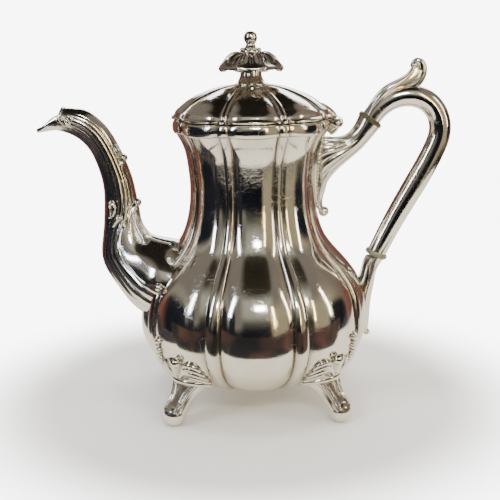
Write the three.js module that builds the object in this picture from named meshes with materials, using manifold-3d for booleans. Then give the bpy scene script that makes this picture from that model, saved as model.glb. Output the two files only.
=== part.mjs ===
// A melon-shaped silver-plated coffee pot on four scroll feet, with a hinged lid.
// Millimetres, +Z up. The pot's own axis is upright; the spout points along -X and the handle along +X.
import * as THREE from 'three';
import { mergeVertices } from 'three/addons/utils/BufferGeometryUtils.js';
import Module from 'manifold-3d';

const wasm = await Module();
wasm.setup();

// ---------------------------------------------------------------- driving dimensions
const AXIS_X = 4.5; // from the middle of the whole length to the pot's axis
const GAP = 0.3; // clearance between pieces that are soldered or fitted together
const WALL = 1.3; // plated sheet of the body and the lid

const LOBES = 8;
const PITCH = (2 * Math.PI) / LOBES;
const RIB_HALF = THREE.MathUtils.degToRad(2.9); // half the angle that one narrow rib covers
const GROOVE = 0.05; // groove depth as a share of the radius
const RIB_RISE = 0.7; // how far a rib fills the groove back up

const BASE_RADIUS = 36;
const BASE_Z = 17;
const BELLY_RADIUS = 76;
const BELLY_Z = 57;
const WAIST_RADIUS = 41;
const WAIST_Z = 145;
const MOUTH_RADIUS = 49.5;
const MOUTH_Z = 181;

const RIM_TOP_Z = 189.4;
const RIM_RADIUS = 51.2;
const LID_BOTTOM_Z = 189.8;
const LID_RADIUS = 51.7;
const LID_TOP_Z = 211.4;
const BEZEL_RADIUS = 45.8;
const BEZEL_BOTTOM_Z = 179.5;

const HINGE_X = 55.4;
const HINGE_Z = 186.2;
const KNUCKLE_RADIUS = 3.4;
const KNUCKLE_HALF = 3; // half the width of the lid's middle knuckle
const HINGE_HALF = 8.5; // half the width of the whole hinge
const HINGE_PIN_RADIUS = 1.1;

const STUD_RADIUS = 2;
const SKIRT_RADIUS = 20.3;
const KNOP_TOP_Z = 244.5;

const UPPER_RING = { x: 77, z: 186.9, lean: 54, radius: 8, thickness: 3.6 };
const LOWER_RING = { x: 82.6, z: 97.6, lean: 65, radius: 6.9, thickness: 3.4 };
const TENON_RADIUS = 3.7;
const TENON_HALF = 7;
const DOWEL_RADIUS = 0.8;
const DOWEL_OFFSET = 4.6; // from the ring's middle plane to each cross pin

const FOOT_RADIUS = 75; // from the axis to the middle of a toe
const TOE_RADIUS = 7;
const TOE_Z = 5.7;

// ---------------------------------------------------------------- shape helpers
const v2 = (x, y) => new THREE.Vector2(x, y);
const v3 = (x, y, z) => new THREE.Vector3(x, y, z);

// A closed solid from a stack of rings with equal counts; the stack's ends are capped, or joined if looped.
function skin(rings, looped = false) {
  const count = rings[0].length;
  const points = rings.flat();
  const index = [];
  const spans = looped ? rings.length : rings.length - 1;
  for (let row = 0; row < spans; row += 1) {
    const low = row * count;
    const high = ((row + 1) % rings.length) * count;
    for (let i = 0; i < count; i += 1) {
      const j = (i + 1) % count;
      index.push(low + i, low + j, high + j, low + i, high + j, high + i);
    }
  }
  if (!looped) {
    for (const [ring, start, turn] of [[rings[0], 0, 1], [rings.at(-1), (rings.length - 1) * count, 0]]) {
      const centre = ring.reduce((sum, p) => sum.add(p), v3(0, 0, 0)).divideScalar(count);
      const hub = points.push(centre) - 1;
      for (let i = 0; i < count; i += 1) {
        const j = (i + 1) % count;
        index.push(hub, start + (turn ? j : i), start + (turn ? i : j));
      }
    }
  }
  let volume = 0;
  for (let k = 0; k < index.length; k += 3) {
    const [a, b, c] = [0, 1, 2].map((n) => points[index[k + n]]);
    volume += a.dot(v3(0, 0, 0).crossVectors(b, c));
  }
  if (volume < 0) index.reverse();
  const geometry = new THREE.BufferGeometry();
  geometry.setAttribute('position', new THREE.Float32BufferAttribute(points.flatMap((p) => p.toArray()), 3));
  geometry.setIndex(index);
  return geometry;
}

function toSolid(geometry) {
  const bare = geometry.clone();
  bare.deleteAttribute('normal');
  bare.deleteAttribute('uv');
  const merged = mergeVertices(bare, 1e-4);
  const vertProperties = new Float32Array(merged.getAttribute('position').array);
  const triVerts = new Uint32Array(merged.getIndex().array);
  return new wasm.Manifold(new wasm.Mesh({ numProp: 3, vertProperties, triVerts }));
}

function toGeometry(solid) {
  const mesh = solid.getMesh();
  const geometry = new THREE.BufferGeometry();
  geometry.setAttribute('position', new THREE.Float32BufferAttribute(mesh.vertProperties, 3));
  geometry.setIndex([...mesh.triVerts]);
  return geometry;
}

const cut = (solid, ...tools) => tools.reduce((rest, tool) => rest.subtract(tool), solid);
const join = (solid, ...others) => others.reduce((sum, other) => sum.add(other), solid);

function box(xRange, yRange, zRange) {
  const ranges = [xRange, yRange, zRange];
  const size = ranges.map(([low, high]) => high - low);
  const middle = ranges.map(([low, high]) => (high + low) / 2);
  return toSolid(new THREE.BoxGeometry(...size).translate(...middle));
}

// A round bar from one point to another.
function bar(from, to, radius, sides = 12) {
  const along = to.clone().sub(from);
  const geometry = new THREE.CylinderGeometry(radius, radius, along.length(), sides);
  const turn = new THREE.Quaternion().setFromUnitVectors(v3(0, 1, 0), along.clone().normalize());
  geometry.applyQuaternion(turn).translate(...from.clone().add(to).multiplyScalar(0.5).toArray());
  return toSolid(geometry);
}

const crossBar = (x, z, radius, low, high, sides = 12) => bar(v3(x, low, z), v3(x, high, z), radius, sides);

// A turned piece: the outline is a list of [radius, z] that starts and ends on the axis.
function turned(outline, sides = 24) {
  const points = outline.map(([radius, z]) => v2(radius, z));
  return toSolid(new THREE.LatheGeometry(points, sides).rotateX(Math.PI / 2));
}

// A body swept along a curve in the XZ plane. Each station is [x, z, half depth, half width].
function sweepRings(stations, steps, sides) {
  const path = new THREE.CatmullRomCurve3(stations.map(([x, z]) => v3(x, 0, z)));
  const sizes = new THREE.CatmullRomCurve3(stations.map(([, , depth, width]) => v3(depth, width, 0)));
  const rings = [];
  for (let step = 0; step <= steps; step += 1) {
    const t = step / steps;
    const centre = path.getPoint(t);
    const tangent = path.getTangent(t);
    const across = v3(-tangent.z, 0, tangent.x);
    const size = sizes.getPoint(t);
    const ring = [];
    for (let side = 0; side < sides; side += 1) {
      const angle = (side / sides) * 2 * Math.PI;
      const point = centre.clone().addScaledVector(across, size.x * Math.cos(angle));
      ring.push(point.setY(size.y * Math.sin(angle)));
    }
    rings.push(ring);
  }
  return rings;
}

const sweep = (stations, steps = 12, sides = 12) => toSolid(skin(sweepRings(stations, steps, sides)));

function pipe(stations, wall, steps, sides) {
  const inner = stations.map(([x, z, depth, width]) => [x, z, depth - wall, width - wall]);
  const rings = [...sweepRings(stations, steps, sides), ...sweepRings(inner, steps, sides).reverse()];
  return toSolid(skin(rings, true));
}

// ---------------------------------------------------------------- the lobed cross-section
// Wide pillow-shaped lobes stand at every multiple of the pitch, with a narrow round rib between each two.
function lobedRadius(angle, radius, groove) {
  const turns = angle / PITCH;
  const offset = Math.abs(turns - Math.round(turns)) * PITCH;
  const lobeHalf = PITCH / 2 - RIB_HALF;
  const depth = groove * radius;
  if (offset <= lobeHalf) return radius - depth * (offset / lobeHalf) ** 3;
  const across = (PITCH / 2 - offset) / RIB_HALF;
  return radius - depth * (1 - RIB_RISE * Math.sqrt(Math.max(0, 1 - across * across)));
}

const LOBE_STEPS = [0, 0.24, 0.5, 0.76, 1]; // where the wide lobe is cut into facets
function lobeAngles() {
  const lobeHalf = PITCH / 2 - RIB_HALF;
  const angles = [];
  for (let lobe = 0; lobe < LOBES; lobe += 1) {
    const middle = lobe * PITCH;
    angles.push(...LOBE_STEPS.map((step) => middle + (2 * step - 1) * lobeHalf), middle + PITCH / 2);
  }
  return angles;
}
const ANGLES = lobeAngles();

function lobedRing(radius, z, groove) {
  return ANGLES.map((angle) => {
    const r = lobedRadius(angle, radius, groove);
    return v3(r * Math.cos(angle), r * Math.sin(angle), z);
  });
}

// Moves an outline of [radius, z] points sideways; a positive distance is outwards on an upward outline.
function offsetOutline(outline, distance) {
  return outline.map((point, i) => {
    const before = outline[Math.max(0, i - 1)];
    const after = outline[Math.min(outline.length - 1, i + 1)];
    const along = v2(after[0] - before[0], after[1] - before[1]).normalize();
    return [point[0] + along.y * distance, point[1] - along.x * distance];
  });
}

const bodyGroove = (z) => GROOVE * THREE.MathUtils.smoothstep(z, BASE_Z, 2 * BASE_Z);
const lidGroove = (radius) => 0.035 * THREE.MathUtils.smoothstep(radius, 8, 30);

const bodyRings = (outline) => outline.map(([radius, z]) => lobedRing(radius, z, bodyGroove(z)));
const lidRings = (outline) => outline.map(([radius, z]) => lobedRing(radius, z, lidGroove(radius)));

// ---------------------------------------------------------------- outlines
function bodyOutline() {
  const path = new THREE.Path();
  path.moveTo(BASE_RADIUS, BASE_Z);
  path.bezierCurveTo(62, BASE_Z + 0.5, BELLY_RADIUS, 38, BELLY_RADIUS, BELLY_Z);
  path.bezierCurveTo(BELLY_RADIUS, 74, 70.6, 84, 58, 99);
  path.bezierCurveTo(44.6, 115, WAIST_RADIUS, 128, WAIST_RADIUS, WAIST_Z);
  path.bezierCurveTo(WAIST_RADIUS, 160, 44.6, 173.5, MOUTH_RADIUS, MOUTH_Z);
  return path.getSpacedPoints(15).map((p) => [p.x, p.y]);
}

function lidOutline() {
  const path = new THREE.Path();
  path.moveTo(RIM_RADIUS, LID_BOTTOM_Z);
  path.bezierCurveTo(LID_RADIUS + 0.2, 190.8, LID_RADIUS - 0.4, 191.8, 49.8, 194);
  path.bezierCurveTo(46.5, 198, 38, 203.5, 30, 206.8);
  path.bezierCurveTo(24, 209.2, 16, LID_TOP_Z - 0.6, 7, LID_TOP_Z);
  return path.getSpacedPoints(7).map((p) => [p.x, p.y]);
}

const BODY = bodyOutline();
const LID = lidOutline();

// The filled outer shapes, a clearance larger, used to fit castings against the body and the lid.
const bodyForm = toSolid(skin(bodyRings(offsetOutline(BODY, GAP))));
const rimForm = toSolid(skin([MOUTH_Z - 0.5, RIM_TOP_Z].map((z) => lobedRing(RIM_RADIUS + GAP, z, 0.035))));
const potForm = join(bodyForm, rimForm);
const lidForm = toSolid(skin(lidRings(offsetOutline(LID, GAP))));

// ---------------------------------------------------------------- body
function bodyShell() {
  const outer = bodyRings(BODY);
  const lining = [...offsetOutline(BODY, -WALL).slice(0, -1), [MOUTH_RADIUS - WALL, MOUTH_Z]];
  const inner = bodyRings(lining).reverse();
  const outlet = sweep([[-50, 80, 10, 11], [-66, 88, 10, 11], [-84, 97, 10, 11]], 4, 16);
  return cut(toSolid(skin([...outer, ...inner], true)), outlet);
}

function bodyHalf(side) {
  const far = side * 100;
  const near = (side * GAP) / 2;
  return bodyShell().intersect(box([-100, 100], [Math.min(far, near), Math.max(far, near)], [0, 200]));
}

function basePlate() {
  const radius = BASE_RADIUS - 0.5;
  return turned([[0, BASE_Z + 0.2], [radius, BASE_Z + 0.2], [radius, BASE_Z + 1.6], [0, BASE_Z + 1.6]], 40);
}

function rimCollar() {
  const low = MOUTH_Z + GAP;
  const inner = MOUTH_RADIUS - WALL;
  const section = [[inner, low], [50.2, low], [RIM_RADIUS, low + 2], [RIM_RADIUS, RIM_TOP_Z], [inner, RIM_TOP_Z]];
  return toSolid(skin(section.map(([radius, z]) => lobedRing(radius, z, 0.035)), true));
}

// ---------------------------------------------------------------- spout
const SPOUT = [
  [-56, 82, 19, 27], [-70, 90, 21.5, 25], [-80, 98.5, 19.5, 19], [-85.7, 109, 15.5, 13.5],
  [-86.8, 122, 12, 10.5], [-87.3, 137, 10.6, 8.8], [-89, 151, 9.9, 7.8], [-93.3, 165, 9.7, 7.6],
  [-101, 177.5, 9.7, 7.8], [-112, 187, 9, 8.2], [-123, 189, 6.6, 8], [-132.5, 186, 4.4, 6.2], [-138.6, 183.8, 1.6, 3],
];
const BORE = [
  [-50, 80, 13, 18], [-68, 89, 16, 20], [-80, 98.5, 15.5, 15.5], [-85.7, 109, 12, 10.4],
  [-86.8, 122, 9.2, 8], [-87.3, 137, 8.2, 6.7], [-89, 151, 7.6, 6], [-93.3, 165, 7.4, 5.8],
  [-101, 177.5, 7.2, 5.8], [-111.5, 187.5, 6.6, 6], [-122, 193, 5.8, 5.6], [-132, 198, 5.6, 5],
];

function spout() {
  const lip = sweep([[-116, 194, 4, 5], [-126, 192, 4.6, 5.4], [-137, 188.4, 4, 3.4]], 4, 8);
  return cut(sweep(SPOUT, 24, 14), sweep(BORE, 18, 10), lip, bodyForm);
}

// ---------------------------------------------------------------- handle
function ringFrame({ x, z, lean }) {
  const angle = THREE.MathUtils.degToRad(lean);
  const along = v3(Math.cos(angle), 0, Math.sin(angle));
  const at = (distance) => v3(x, 0, z).addScaledVector(along, distance);
  return { at };
}

function insulator(ring) {
  const { at } = ringFrame(ring);
  const half = ring.thickness / 2;
  const disc = bar(at(-half), at(half), ring.radius, 20);
  const tenon = bar(at(-TENON_HALF), at(TENON_HALF), TENON_RADIUS, 10);
  const holes = [-1, 1].map((side) => dowelHole(ring, side));
  return cut(join(disc, tenon), ...holes);
}

function dowelAlong(ring, side, radius, half) {
  const middle = ringFrame(ring).at(side * DOWEL_OFFSET);
  return crossBar(middle.x, middle.z, radius, -half, half, 8);
}
const dowelHole = (ring, side) => dowelAlong(ring, side, DOWEL_RADIUS + GAP, 12);
const dowel = (ring, side, half) => dowelAlong(ring, side, DOWEL_RADIUS, half);

// The room a ring needs: its tenon's hole, and everything past the face that the tube butts against.
function ringRoom(ring, side) {
  const { at } = ringFrame(ring);
  const face = side * (ring.thickness / 2 + GAP);
  const hole = bar(at(0), at(side * (TENON_HALF + 0.5)), TENON_RADIUS + GAP, 10);
  const trim = bar(at(face), at(-side * 8), 14, 16);
  return [hole, trim, dowelHole(ring, side)];
}

const GRIP = [
  [76.2, 185.8, 6.2, 6.2], [80.9, 192.1, 6.3, 6.3], [87, 197.4, 6.5, 6.4], [95, 201.2, 6.8, 6.5],
  [104, 201.9, 7, 6.6], [113, 198.6, 7, 6.6], [120, 192.5, 7, 6.6], [123.2, 184.5, 6.9, 6.6], [122.2, 174.5, 7.1, 6.7],
  [116.6, 161.5, 7.2, 6.8], [109.3, 147.6, 7.3, 6.8], [101.8, 134.4, 7.1, 6.6], [94.4, 121.4, 6.8, 6.4],
  [87.9, 109.8, 6.4, 6.2], [82.2, 96.7, 6.2, 6.2],
];
const GRIP_WALL = 2;

function grip() {
  return cut(pipe(GRIP, GRIP_WALL, 24, 10), ...ringRoom(UPPER_RING, 1), ...ringRoom(LOWER_RING, 1));
}

function thumbScroll() {
  const blade = sweep([
    [80.5, 198, 2.6, 4], [87, 203.5, 4, 6], [95, 208, 5, 7], [102, 211.5, 6, 6.6], [107.3, 216.3, 6, 5.6],
    [109.4, 221.4, 4.9, 4.6], [108, 226, 1, 1.6],
  ], 9, 10);
  const gripForm = sweep(GRIP.map(([x, z, depth, width]) => [x, z, depth + GAP, width + GAP]), 24, 10);
  return cut(blade, gripForm);
}

function upperSocket() {
  const horn = sweep([
    [36, 163, 19, 8], [46, 164, 16, 9.5], [54, 165.6, 11.9, 9], [59.5, 168, 9, 8.2], [65, 172, 7.6, 7.6],
    [71.5, 179.3, 7.1, 7.4], [78, 188.3, 7.9, 7.9],
  ], 10, 12);
  const tail = sweep([[40, 162, 5, 8], [43.5, 148, 5.4, 6.5], [43, 135, 4.5, 4.6], [45, 127, 4, 3.6]], 5, 8);
  const scroll = toSolid(new THREE.SphereGeometry(3.6, 8, 6).translate(46.6, 0, 127));
  return cut(join(horn, tail, scroll), ...ringRoom(UPPER_RING, -1), potForm);
}

function lowerSocket() {
  const arm = sweep([
    [83.6, 99.8, 6.9, 6.7], [79.3, 91.2, 5.7, 6.1], [77, 84, 5.2, 6], [75.8, 77, 5.4, 6.3], [75, 69, 5, 6],
    [74.6, 60, 4.4, 5.4], [74.2, 51, 4, 4.4], [72.6, 42, 3.6, 2.6],
  ], 12, 12);
  return cut(arm, ...ringRoom(LOWER_RING, -1), bodyForm);
}

// ---------------------------------------------------------------- feet
// One foot is drawn in the XZ plane and turned to its corner; the body looks the same from every corner.
function foot() {
  const leg = sweep([
    [56, 29, 6, 16], [60.5, 24, 6.5, 13], [65.2, 18, 5.8, 9], [69.6, 12.2, 5.4, 7.2], [FOOT_RADIUS, TOE_Z, 5.6, 6.6],
  ], 6, 10);
  const toe = toSolid(new THREE.SphereGeometry(TOE_RADIUS, 12, 8).translate(FOOT_RADIUS, 0, TOE_Z));
  const shell = sweep([
    [60, 23.5, 4, 10.5], [68, 28.5, 5, 13], [73.5, 37, 4.4, 13.5], [75.2, 45, 3.6, 9], [74.8, 52, 2.4, 2.6],
  ], 7, 10);
  return cut(join(leg, toe, shell), bodyForm, box([40, 100], [-20, 20], [-10, 0]));
}

// ---------------------------------------------------------------- hinge and lid
const hingeHole = crossBar(HINGE_X, HINGE_Z, HINGE_PIN_RADIUS + GAP, -20, 20, 12);

function hingeBodyLeaf() {
  const inner = KNUCKLE_HALF + GAP;
  const knuckles = [-1, 1].map((side) => {
    const ends = [side * inner, side * HINGE_HALF].sort((a, b) => a - b);
    return crossBar(HINGE_X, HINGE_Z, KNUCKLE_RADIUS, ...ends, 16);
  });
  const cheeks = [-1, 1].map((side) => {
    const ends = [side * inner, side * HINGE_HALF].sort((a, b) => a - b);
    return box([50.5, HINGE_X], ends, [181.4, 184.6]);
  });
  const bridge = box([50.5, HINGE_X + 2.4], [-HINGE_HALF, HINGE_HALF], [180.2, 182.2]);
  return cut(join(bridge, ...knuckles, ...cheeks), hingeHole, potForm);
}

function hingeLidLeaf() {
  const knuckle = crossBar(HINGE_X, HINGE_Z, KNUCKLE_RADIUS, -KNUCKLE_HALF, KNUCKLE_HALF, 16);
  const strap = sweep([[55.4, 188, 1.6, 2.9], [53, 191.2, 1.5, 2.9], [50.6, 195.2, 1.4, 2.9], [45.6, 199.4, 1, 2.4]], 6, 8);
  return cut(join(knuckle, strap), hingeHole, lidForm);
}

function hingePin() {
  const shaft = crossBar(HINGE_X, HINGE_Z, HINGE_PIN_RADIUS, -HINGE_HALF - 0.6, HINGE_HALF + 0.6, 12);
  const heads = [-1, 1].map((side) => {
    const ends = [side * (HINGE_HALF + GAP), side * (HINGE_HALF + 1.2)].sort((a, b) => a - b);
    return crossBar(HINGE_X, HINGE_Z, 2, ...ends, 12);
  });
  return join(shaft, ...heads);
}

function lidDome() {
  const outer = lidRings([...LID, [STUD_RADIUS + GAP, LID_TOP_Z]]);
  const ceiling = offsetOutline(LID, -WALL).filter(([radius]) => radius < BEZEL_RADIUS);
  const ledge = BEZEL_RADIUS + GAP + 0.2;
  const under = [[ledge, LID_BOTTOM_Z], [ledge, 191.5], ...ceiling, [STUD_RADIUS + GAP, LID_TOP_Z - WALL]];
  return toSolid(skin([...outer, ...lidRings(under).reverse()], true));
}

function lidBezel() {
  const inner = BEZEL_RADIUS - WALL;
  const top = LID_BOTTOM_Z + 2.4;
  const section = [
    [inner, BEZEL_BOTTOM_Z], [BEZEL_RADIUS, BEZEL_BOTTOM_Z], [BEZEL_RADIUS, top], [inner, top],
  ];
  return toSolid(skin(section.map(([radius, z]) => lobedRing(radius, z, 0.035)), true));
}

// ---------------------------------------------------------------- finial
const studHole = bar(v3(0, 0, 190), v3(0, 0, 234), STUD_RADIUS + GAP, 12);

function finialCollar() {
  const low = LID_TOP_Z + GAP;
  return cut(turned([[0, low], [12, low], [10, low + 1.2], [8, low + 3], [0, low + 3]], 24), studHole);
}

function finialStem() {
  const low = LID_TOP_Z + 2 * GAP + 3;
  return cut(turned([[0, low], [7.6, low], [6.6, low + 2.4], [6.9, low + 5], [5.4, low + 10.4], [0, low + 10.4]], 24), studHole);
}

// Eight petals: the skirt's radius swells in the middle of each petal.
function finialSkirt() {
  const section = [
    [2.6, 230.6], [8, 230.4], [13.9, 228.9], [18.2, 225.8], [SKIRT_RADIUS, 221.8], [19.4, 221.2],
    [16, 224.2], [11, 225.9], [2.6, 226],
  ];
  const sides = 32;
  const rings = section.map(([radius, z]) => {
    const scallop = 0.09 * THREE.MathUtils.smoothstep(radius, 6, SKIRT_RADIUS);
    return Array.from({ length: sides }, (_, side) => {
      const angle = (side / sides) * 2 * Math.PI;
      const r = radius * (1 - scallop * (1 - Math.abs(Math.cos((LOBES / 2) * angle))));
      return v3(r * Math.cos(angle), r * Math.sin(angle), z);
    });
  });
  return toSolid(skin(rings, true));
}

function finialKnop() {
  const outline = [
    [0, 230.9], [6.8, 230.9], [6.6, 232.2], [4.6, 233.6], [2.7, 235.4], [2.9, 236.6], [4.1, 238.6], [4.3, 240.6],
    [3.4, 242.9], [1.8, 244.2], [0, KNOP_TOP_Z],
  ];
  return cut(turned(outline, 14), studHole);
}

const finialStud = () => bar(v3(0, 0, 203.2), v3(0, 0, 233.6), STUD_RADIUS, 12);

function finialWasher() {
  const top = LID_TOP_Z - WALL - GAP;
  return cut(bar(v3(0, 0, top - 1.2), v3(0, 0, top), 6, 20), studHole);
}

function finialNut() {
  const top = LID_TOP_Z - WALL - 2 * GAP - 1.2;
  return cut(bar(v3(0, 0, top - 3.2), v3(0, 0, top), 4.6, 6), studHole);
}

// ---------------------------------------------------------------- materials and assembly
const metal = (color, roughness) => () => new THREE.MeshStandardMaterial({ color, metalness: 1, roughness });
const silver = metal(0xcfccc4, 0.16);
const castSilver = metal(0xc6c2b8, 0.24);
const plainMetal = metal(0xb0aca2, 0.35);
const bone = (color) => () => new THREE.MeshStandardMaterial({ color, metalness: 0, roughness: 0.5 });

const pot = new THREE.Group();
pot.position.x = AXIS_X;

function add(name, solid, material, parent = pot) {
  const mesh = new THREE.Mesh(toGeometry(solid), material());
  mesh.name = name;
  parent.add(mesh);
  return mesh;
}

add('body_front_half', bodyHalf(-1), silver);
add('body_back_half', bodyHalf(1), silver);
add('base_plate', basePlate(), silver);
add('rim_collar', rimCollar(), silver);
add('spout', spout(), castSilver);

const corners = { front_left: 225, front_right: 315, back_right: 45, back_left: 135 };
for (const [corner, degrees] of Object.entries(corners)) {
  const mesh = add(`foot_${corner}`, foot(), castSilver);
  mesh.rotation.z = THREE.MathUtils.degToRad(degrees);
}

add('handle_upper_socket', upperSocket(), castSilver);
add('upper_insulator', insulator(UPPER_RING), bone(0x8b8256));
add('handle_grip', grip(), silver);
add('thumb_scroll', thumbScroll(), castSilver);
add('lower_insulator', insulator(LOWER_RING), bone(0x98978a));
add('handle_lower_socket', lowerSocket(), castSilver);
add('upper_socket_pin', dowel(UPPER_RING, -1, 7.2), plainMetal);
add('upper_grip_pin', dowel(UPPER_RING, 1, 6), plainMetal);
add('lower_grip_pin', dowel(LOWER_RING, 1, 6), plainMetal);
add('lower_socket_pin', dowel(LOWER_RING, -1, 6), plainMetal);

add('hinge_body_leaf', hingeBodyLeaf(), castSilver);
add('hinge_pin', hingePin(), plainMetal);

const lid = new THREE.Group();
pot.add(lid);
add('hinge_lid_leaf', hingeLidLeaf(), castSilver, lid);
add('lid_dome', lidDome(), silver, lid);
add('lid_bezel', lidBezel(), silver, lid);
add('finial_collar', finialCollar(), castSilver, lid);
add('finial_stem', finialStem(), castSilver, lid);
add('finial_skirt', finialSkirt(), castSilver, lid);
add('finial_knop', finialKnop(), castSilver, lid);
add('finial_stud', finialStud(), plainMetal, lid);
add('finial_washer', finialWasher(), plainMetal, lid);
add('finial_nut', finialNut(), plainMetal, lid);

export default pot;
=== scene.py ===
# %% [markdown]
# # A melon-shaped silver coffee pot
# A plated pot of about 1850 to 1880: a body pressed in eight pillowy lobes, a cast spout with a beaked lip,
# a hollow handle held between two bone rings, a hinged lid with a petal finial, and four scroll feet.
# Every surface here is a formula worked out on a grid with numpy, in millimetres from the pot's own upright
# axis, and only the last step turns it into metres in the shared frame.
import math

import bpy
import numpy as np
from mathutils import Matrix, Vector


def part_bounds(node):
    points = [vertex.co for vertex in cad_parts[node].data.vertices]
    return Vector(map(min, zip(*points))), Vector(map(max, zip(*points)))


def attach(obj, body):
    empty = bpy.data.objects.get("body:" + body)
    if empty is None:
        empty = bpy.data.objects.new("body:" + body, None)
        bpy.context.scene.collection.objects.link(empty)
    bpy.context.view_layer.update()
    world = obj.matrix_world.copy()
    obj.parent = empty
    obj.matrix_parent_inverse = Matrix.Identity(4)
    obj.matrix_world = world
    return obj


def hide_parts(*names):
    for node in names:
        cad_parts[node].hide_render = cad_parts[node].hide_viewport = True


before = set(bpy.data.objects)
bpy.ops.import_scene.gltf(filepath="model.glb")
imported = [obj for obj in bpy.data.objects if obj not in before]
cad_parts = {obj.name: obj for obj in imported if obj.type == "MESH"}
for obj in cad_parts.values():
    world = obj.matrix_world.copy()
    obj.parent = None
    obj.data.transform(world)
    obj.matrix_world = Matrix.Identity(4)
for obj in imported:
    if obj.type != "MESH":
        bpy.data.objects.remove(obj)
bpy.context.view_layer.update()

# %% Where the pot stands in the shared frame
MM = 0.001
plate_low, plate_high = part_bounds("base_plate")
AXIS = np.array([(plate_low[0] + plate_high[0]) / 2, (plate_low[1] + plate_high[1]) / 2, 0.0])
SILVER_SLOT, CAST_SLOT, PIN_SLOT = "silver_plate", "cast_silver", "pin_metal"

# %% [markdown]
# ## Curves and grids
# Three small tools make every piece. A smooth curve through a few chosen points gives outlines and paths: a
# natural cubic has no sudden change of bend, and polished metal would show one as a kink in its reflections.
# A grid of points becomes a closed skin. Finished skins are joined into one mesh when they are one casting.


# %% A smooth curve through a few points
def curve(points, lead=2):
    """Natural cubic spline. Its knots are spaced by the distance between the points' first `lead` columns, so
    it bends evenly. Returns a function of t from 0 to 1, for t of any array shape."""
    points = np.asarray(points, float)
    gaps = np.linalg.norm(np.diff(points[:, :lead], axis=0), axis=1)
    knots = np.concatenate([[0], np.cumsum(gaps)]) / gaps.sum()
    h = np.diff(knots)
    slopes = np.diff(points, axis=0) / h[:, None]
    system = np.diag(2 * (h[:-1] + h[1:])) + np.diag(h[1:-1], 1) + np.diag(h[1:-1], -1)
    bends = np.zeros_like(points)
    bends[1:-1] = np.linalg.solve(system, 6 * np.diff(slopes, axis=0))

    def at(t):
        t = np.asarray(t, float)
        i = np.clip(np.searchsorted(knots, t, side="right") - 1, 0, len(h) - 1)
        gap = h[i]
        f = (t - knots[i]) / gap
        b, a = f[..., None], (1 - f)[..., None]
        bend = ((a**3 - a) * bends[i] + (b**3 - b) * bends[i + 1]) * (gap[..., None] ** 2) / 6
        return a * points[i] + b * points[i + 1] + bend

    return at


def smooth(x, low, high):
    """0 below low, 1 above high, and an S-curve between."""
    t = np.clip((x - low) / (high - low), 0, 1)
    return t * t * (3 - 2 * t)


def unit(v):
    return v / np.maximum(np.linalg.norm(v, axis=-1, keepdims=True), 1e-9)


# %% From a grid to a closed skin
def cells_of(index):
    """The corner numbers of every cell of a grid of point numbers."""
    return np.stack([index[:-1, :-1], index[:-1, 1:], index[1:, 1:], index[1:, :-1]], axis=-1)


def sheet(points, hollow=None, wrap_rows=False, caps=(False, False)):
    """A rows x columns grid of points as quads. Each row closes on itself, the columns may, and an open end
    may be capped by a fan to its middle. A closed skin is turned so that its faces point outwards."""
    rows, cols = points.shape[:2]
    index = np.arange(rows * cols).reshape(rows, cols)
    index = np.concatenate([index, index[:, :1]], axis=1)
    if wrap_rows:
        index = np.concatenate([index, index[:1]], axis=0)
    quads = cells_of(index).reshape(-1, 4)
    verts = points.reshape(-1, 3)
    hollow = np.zeros(len(verts)) if hollow is None else np.broadcast_to(hollow, (rows, cols)).reshape(-1)
    tris = []
    for end, wanted in zip((0, -1), caps):
        if wanted:
            ring = index[end]
            hub = np.full(len(ring) - 1, len(verts))
            pair = (ring[1:], ring[:-1]) if end == 0 else (ring[:-1], ring[1:])
            tris.append(np.stack([hub, *pair], axis=-1))
            verts = np.vstack([verts, points[end].mean(axis=0)])
            hollow = np.append(hollow, hollow[ring[0]])
    tris = np.vstack(tris) if tris else np.zeros((0, 3), int)
    return outward((verts, quads, tris, hollow))


def outward(shape):
    """Turns a shape's faces round if the volume they enclose comes out negative."""
    verts, quads, tris, hollow = shape
    triangles = np.vstack([quads[:, [0, 1, 2]], quads[:, [0, 2, 3]], tris])
    a, b, c = (verts[triangles[:, k]] for k in range(3))
    if np.einsum("ij,ij->", a, np.cross(b, c)) < 0:
        quads, tris = quads[:, ::-1], tris[:, ::-1]
    return verts, quads, tris, hollow


def joined(*shapes):
    """Several shapes as one mesh."""
    starts = np.cumsum([0] + [len(s[0]) for s in shapes[:-1]])
    verts = np.vstack([s[0] for s in shapes])
    quads = np.vstack([s[1] + start for s, start in zip(shapes, starts)])
    tris = np.vstack([s[2] + start for s, start in zip(shapes, starts)])
    return verts, quads, tris, np.concatenate([s[3] for s in shapes])


def moved(shape, matrix=None, offset=(0, 0, 0)):
    """The shape turned by a 3 x 3 matrix and shifted."""
    verts = shape[0] if matrix is None else shape[0] @ np.asarray(matrix).T
    return outward((verts + np.asarray(offset), *shape[1:]))


def turn_z(degrees):
    c, s = math.cos(math.radians(degrees)), math.sin(math.radians(degrees))
    return np.array([[c, -s, 0], [s, c, 0], [0, 0, 1]])


def turn_y(degrees):
    c, s = math.cos(math.radians(degrees)), math.sin(math.radians(degrees))
    return np.array([[c, 0, s], [0, 1, 0], [-s, 0, c]])


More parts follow.
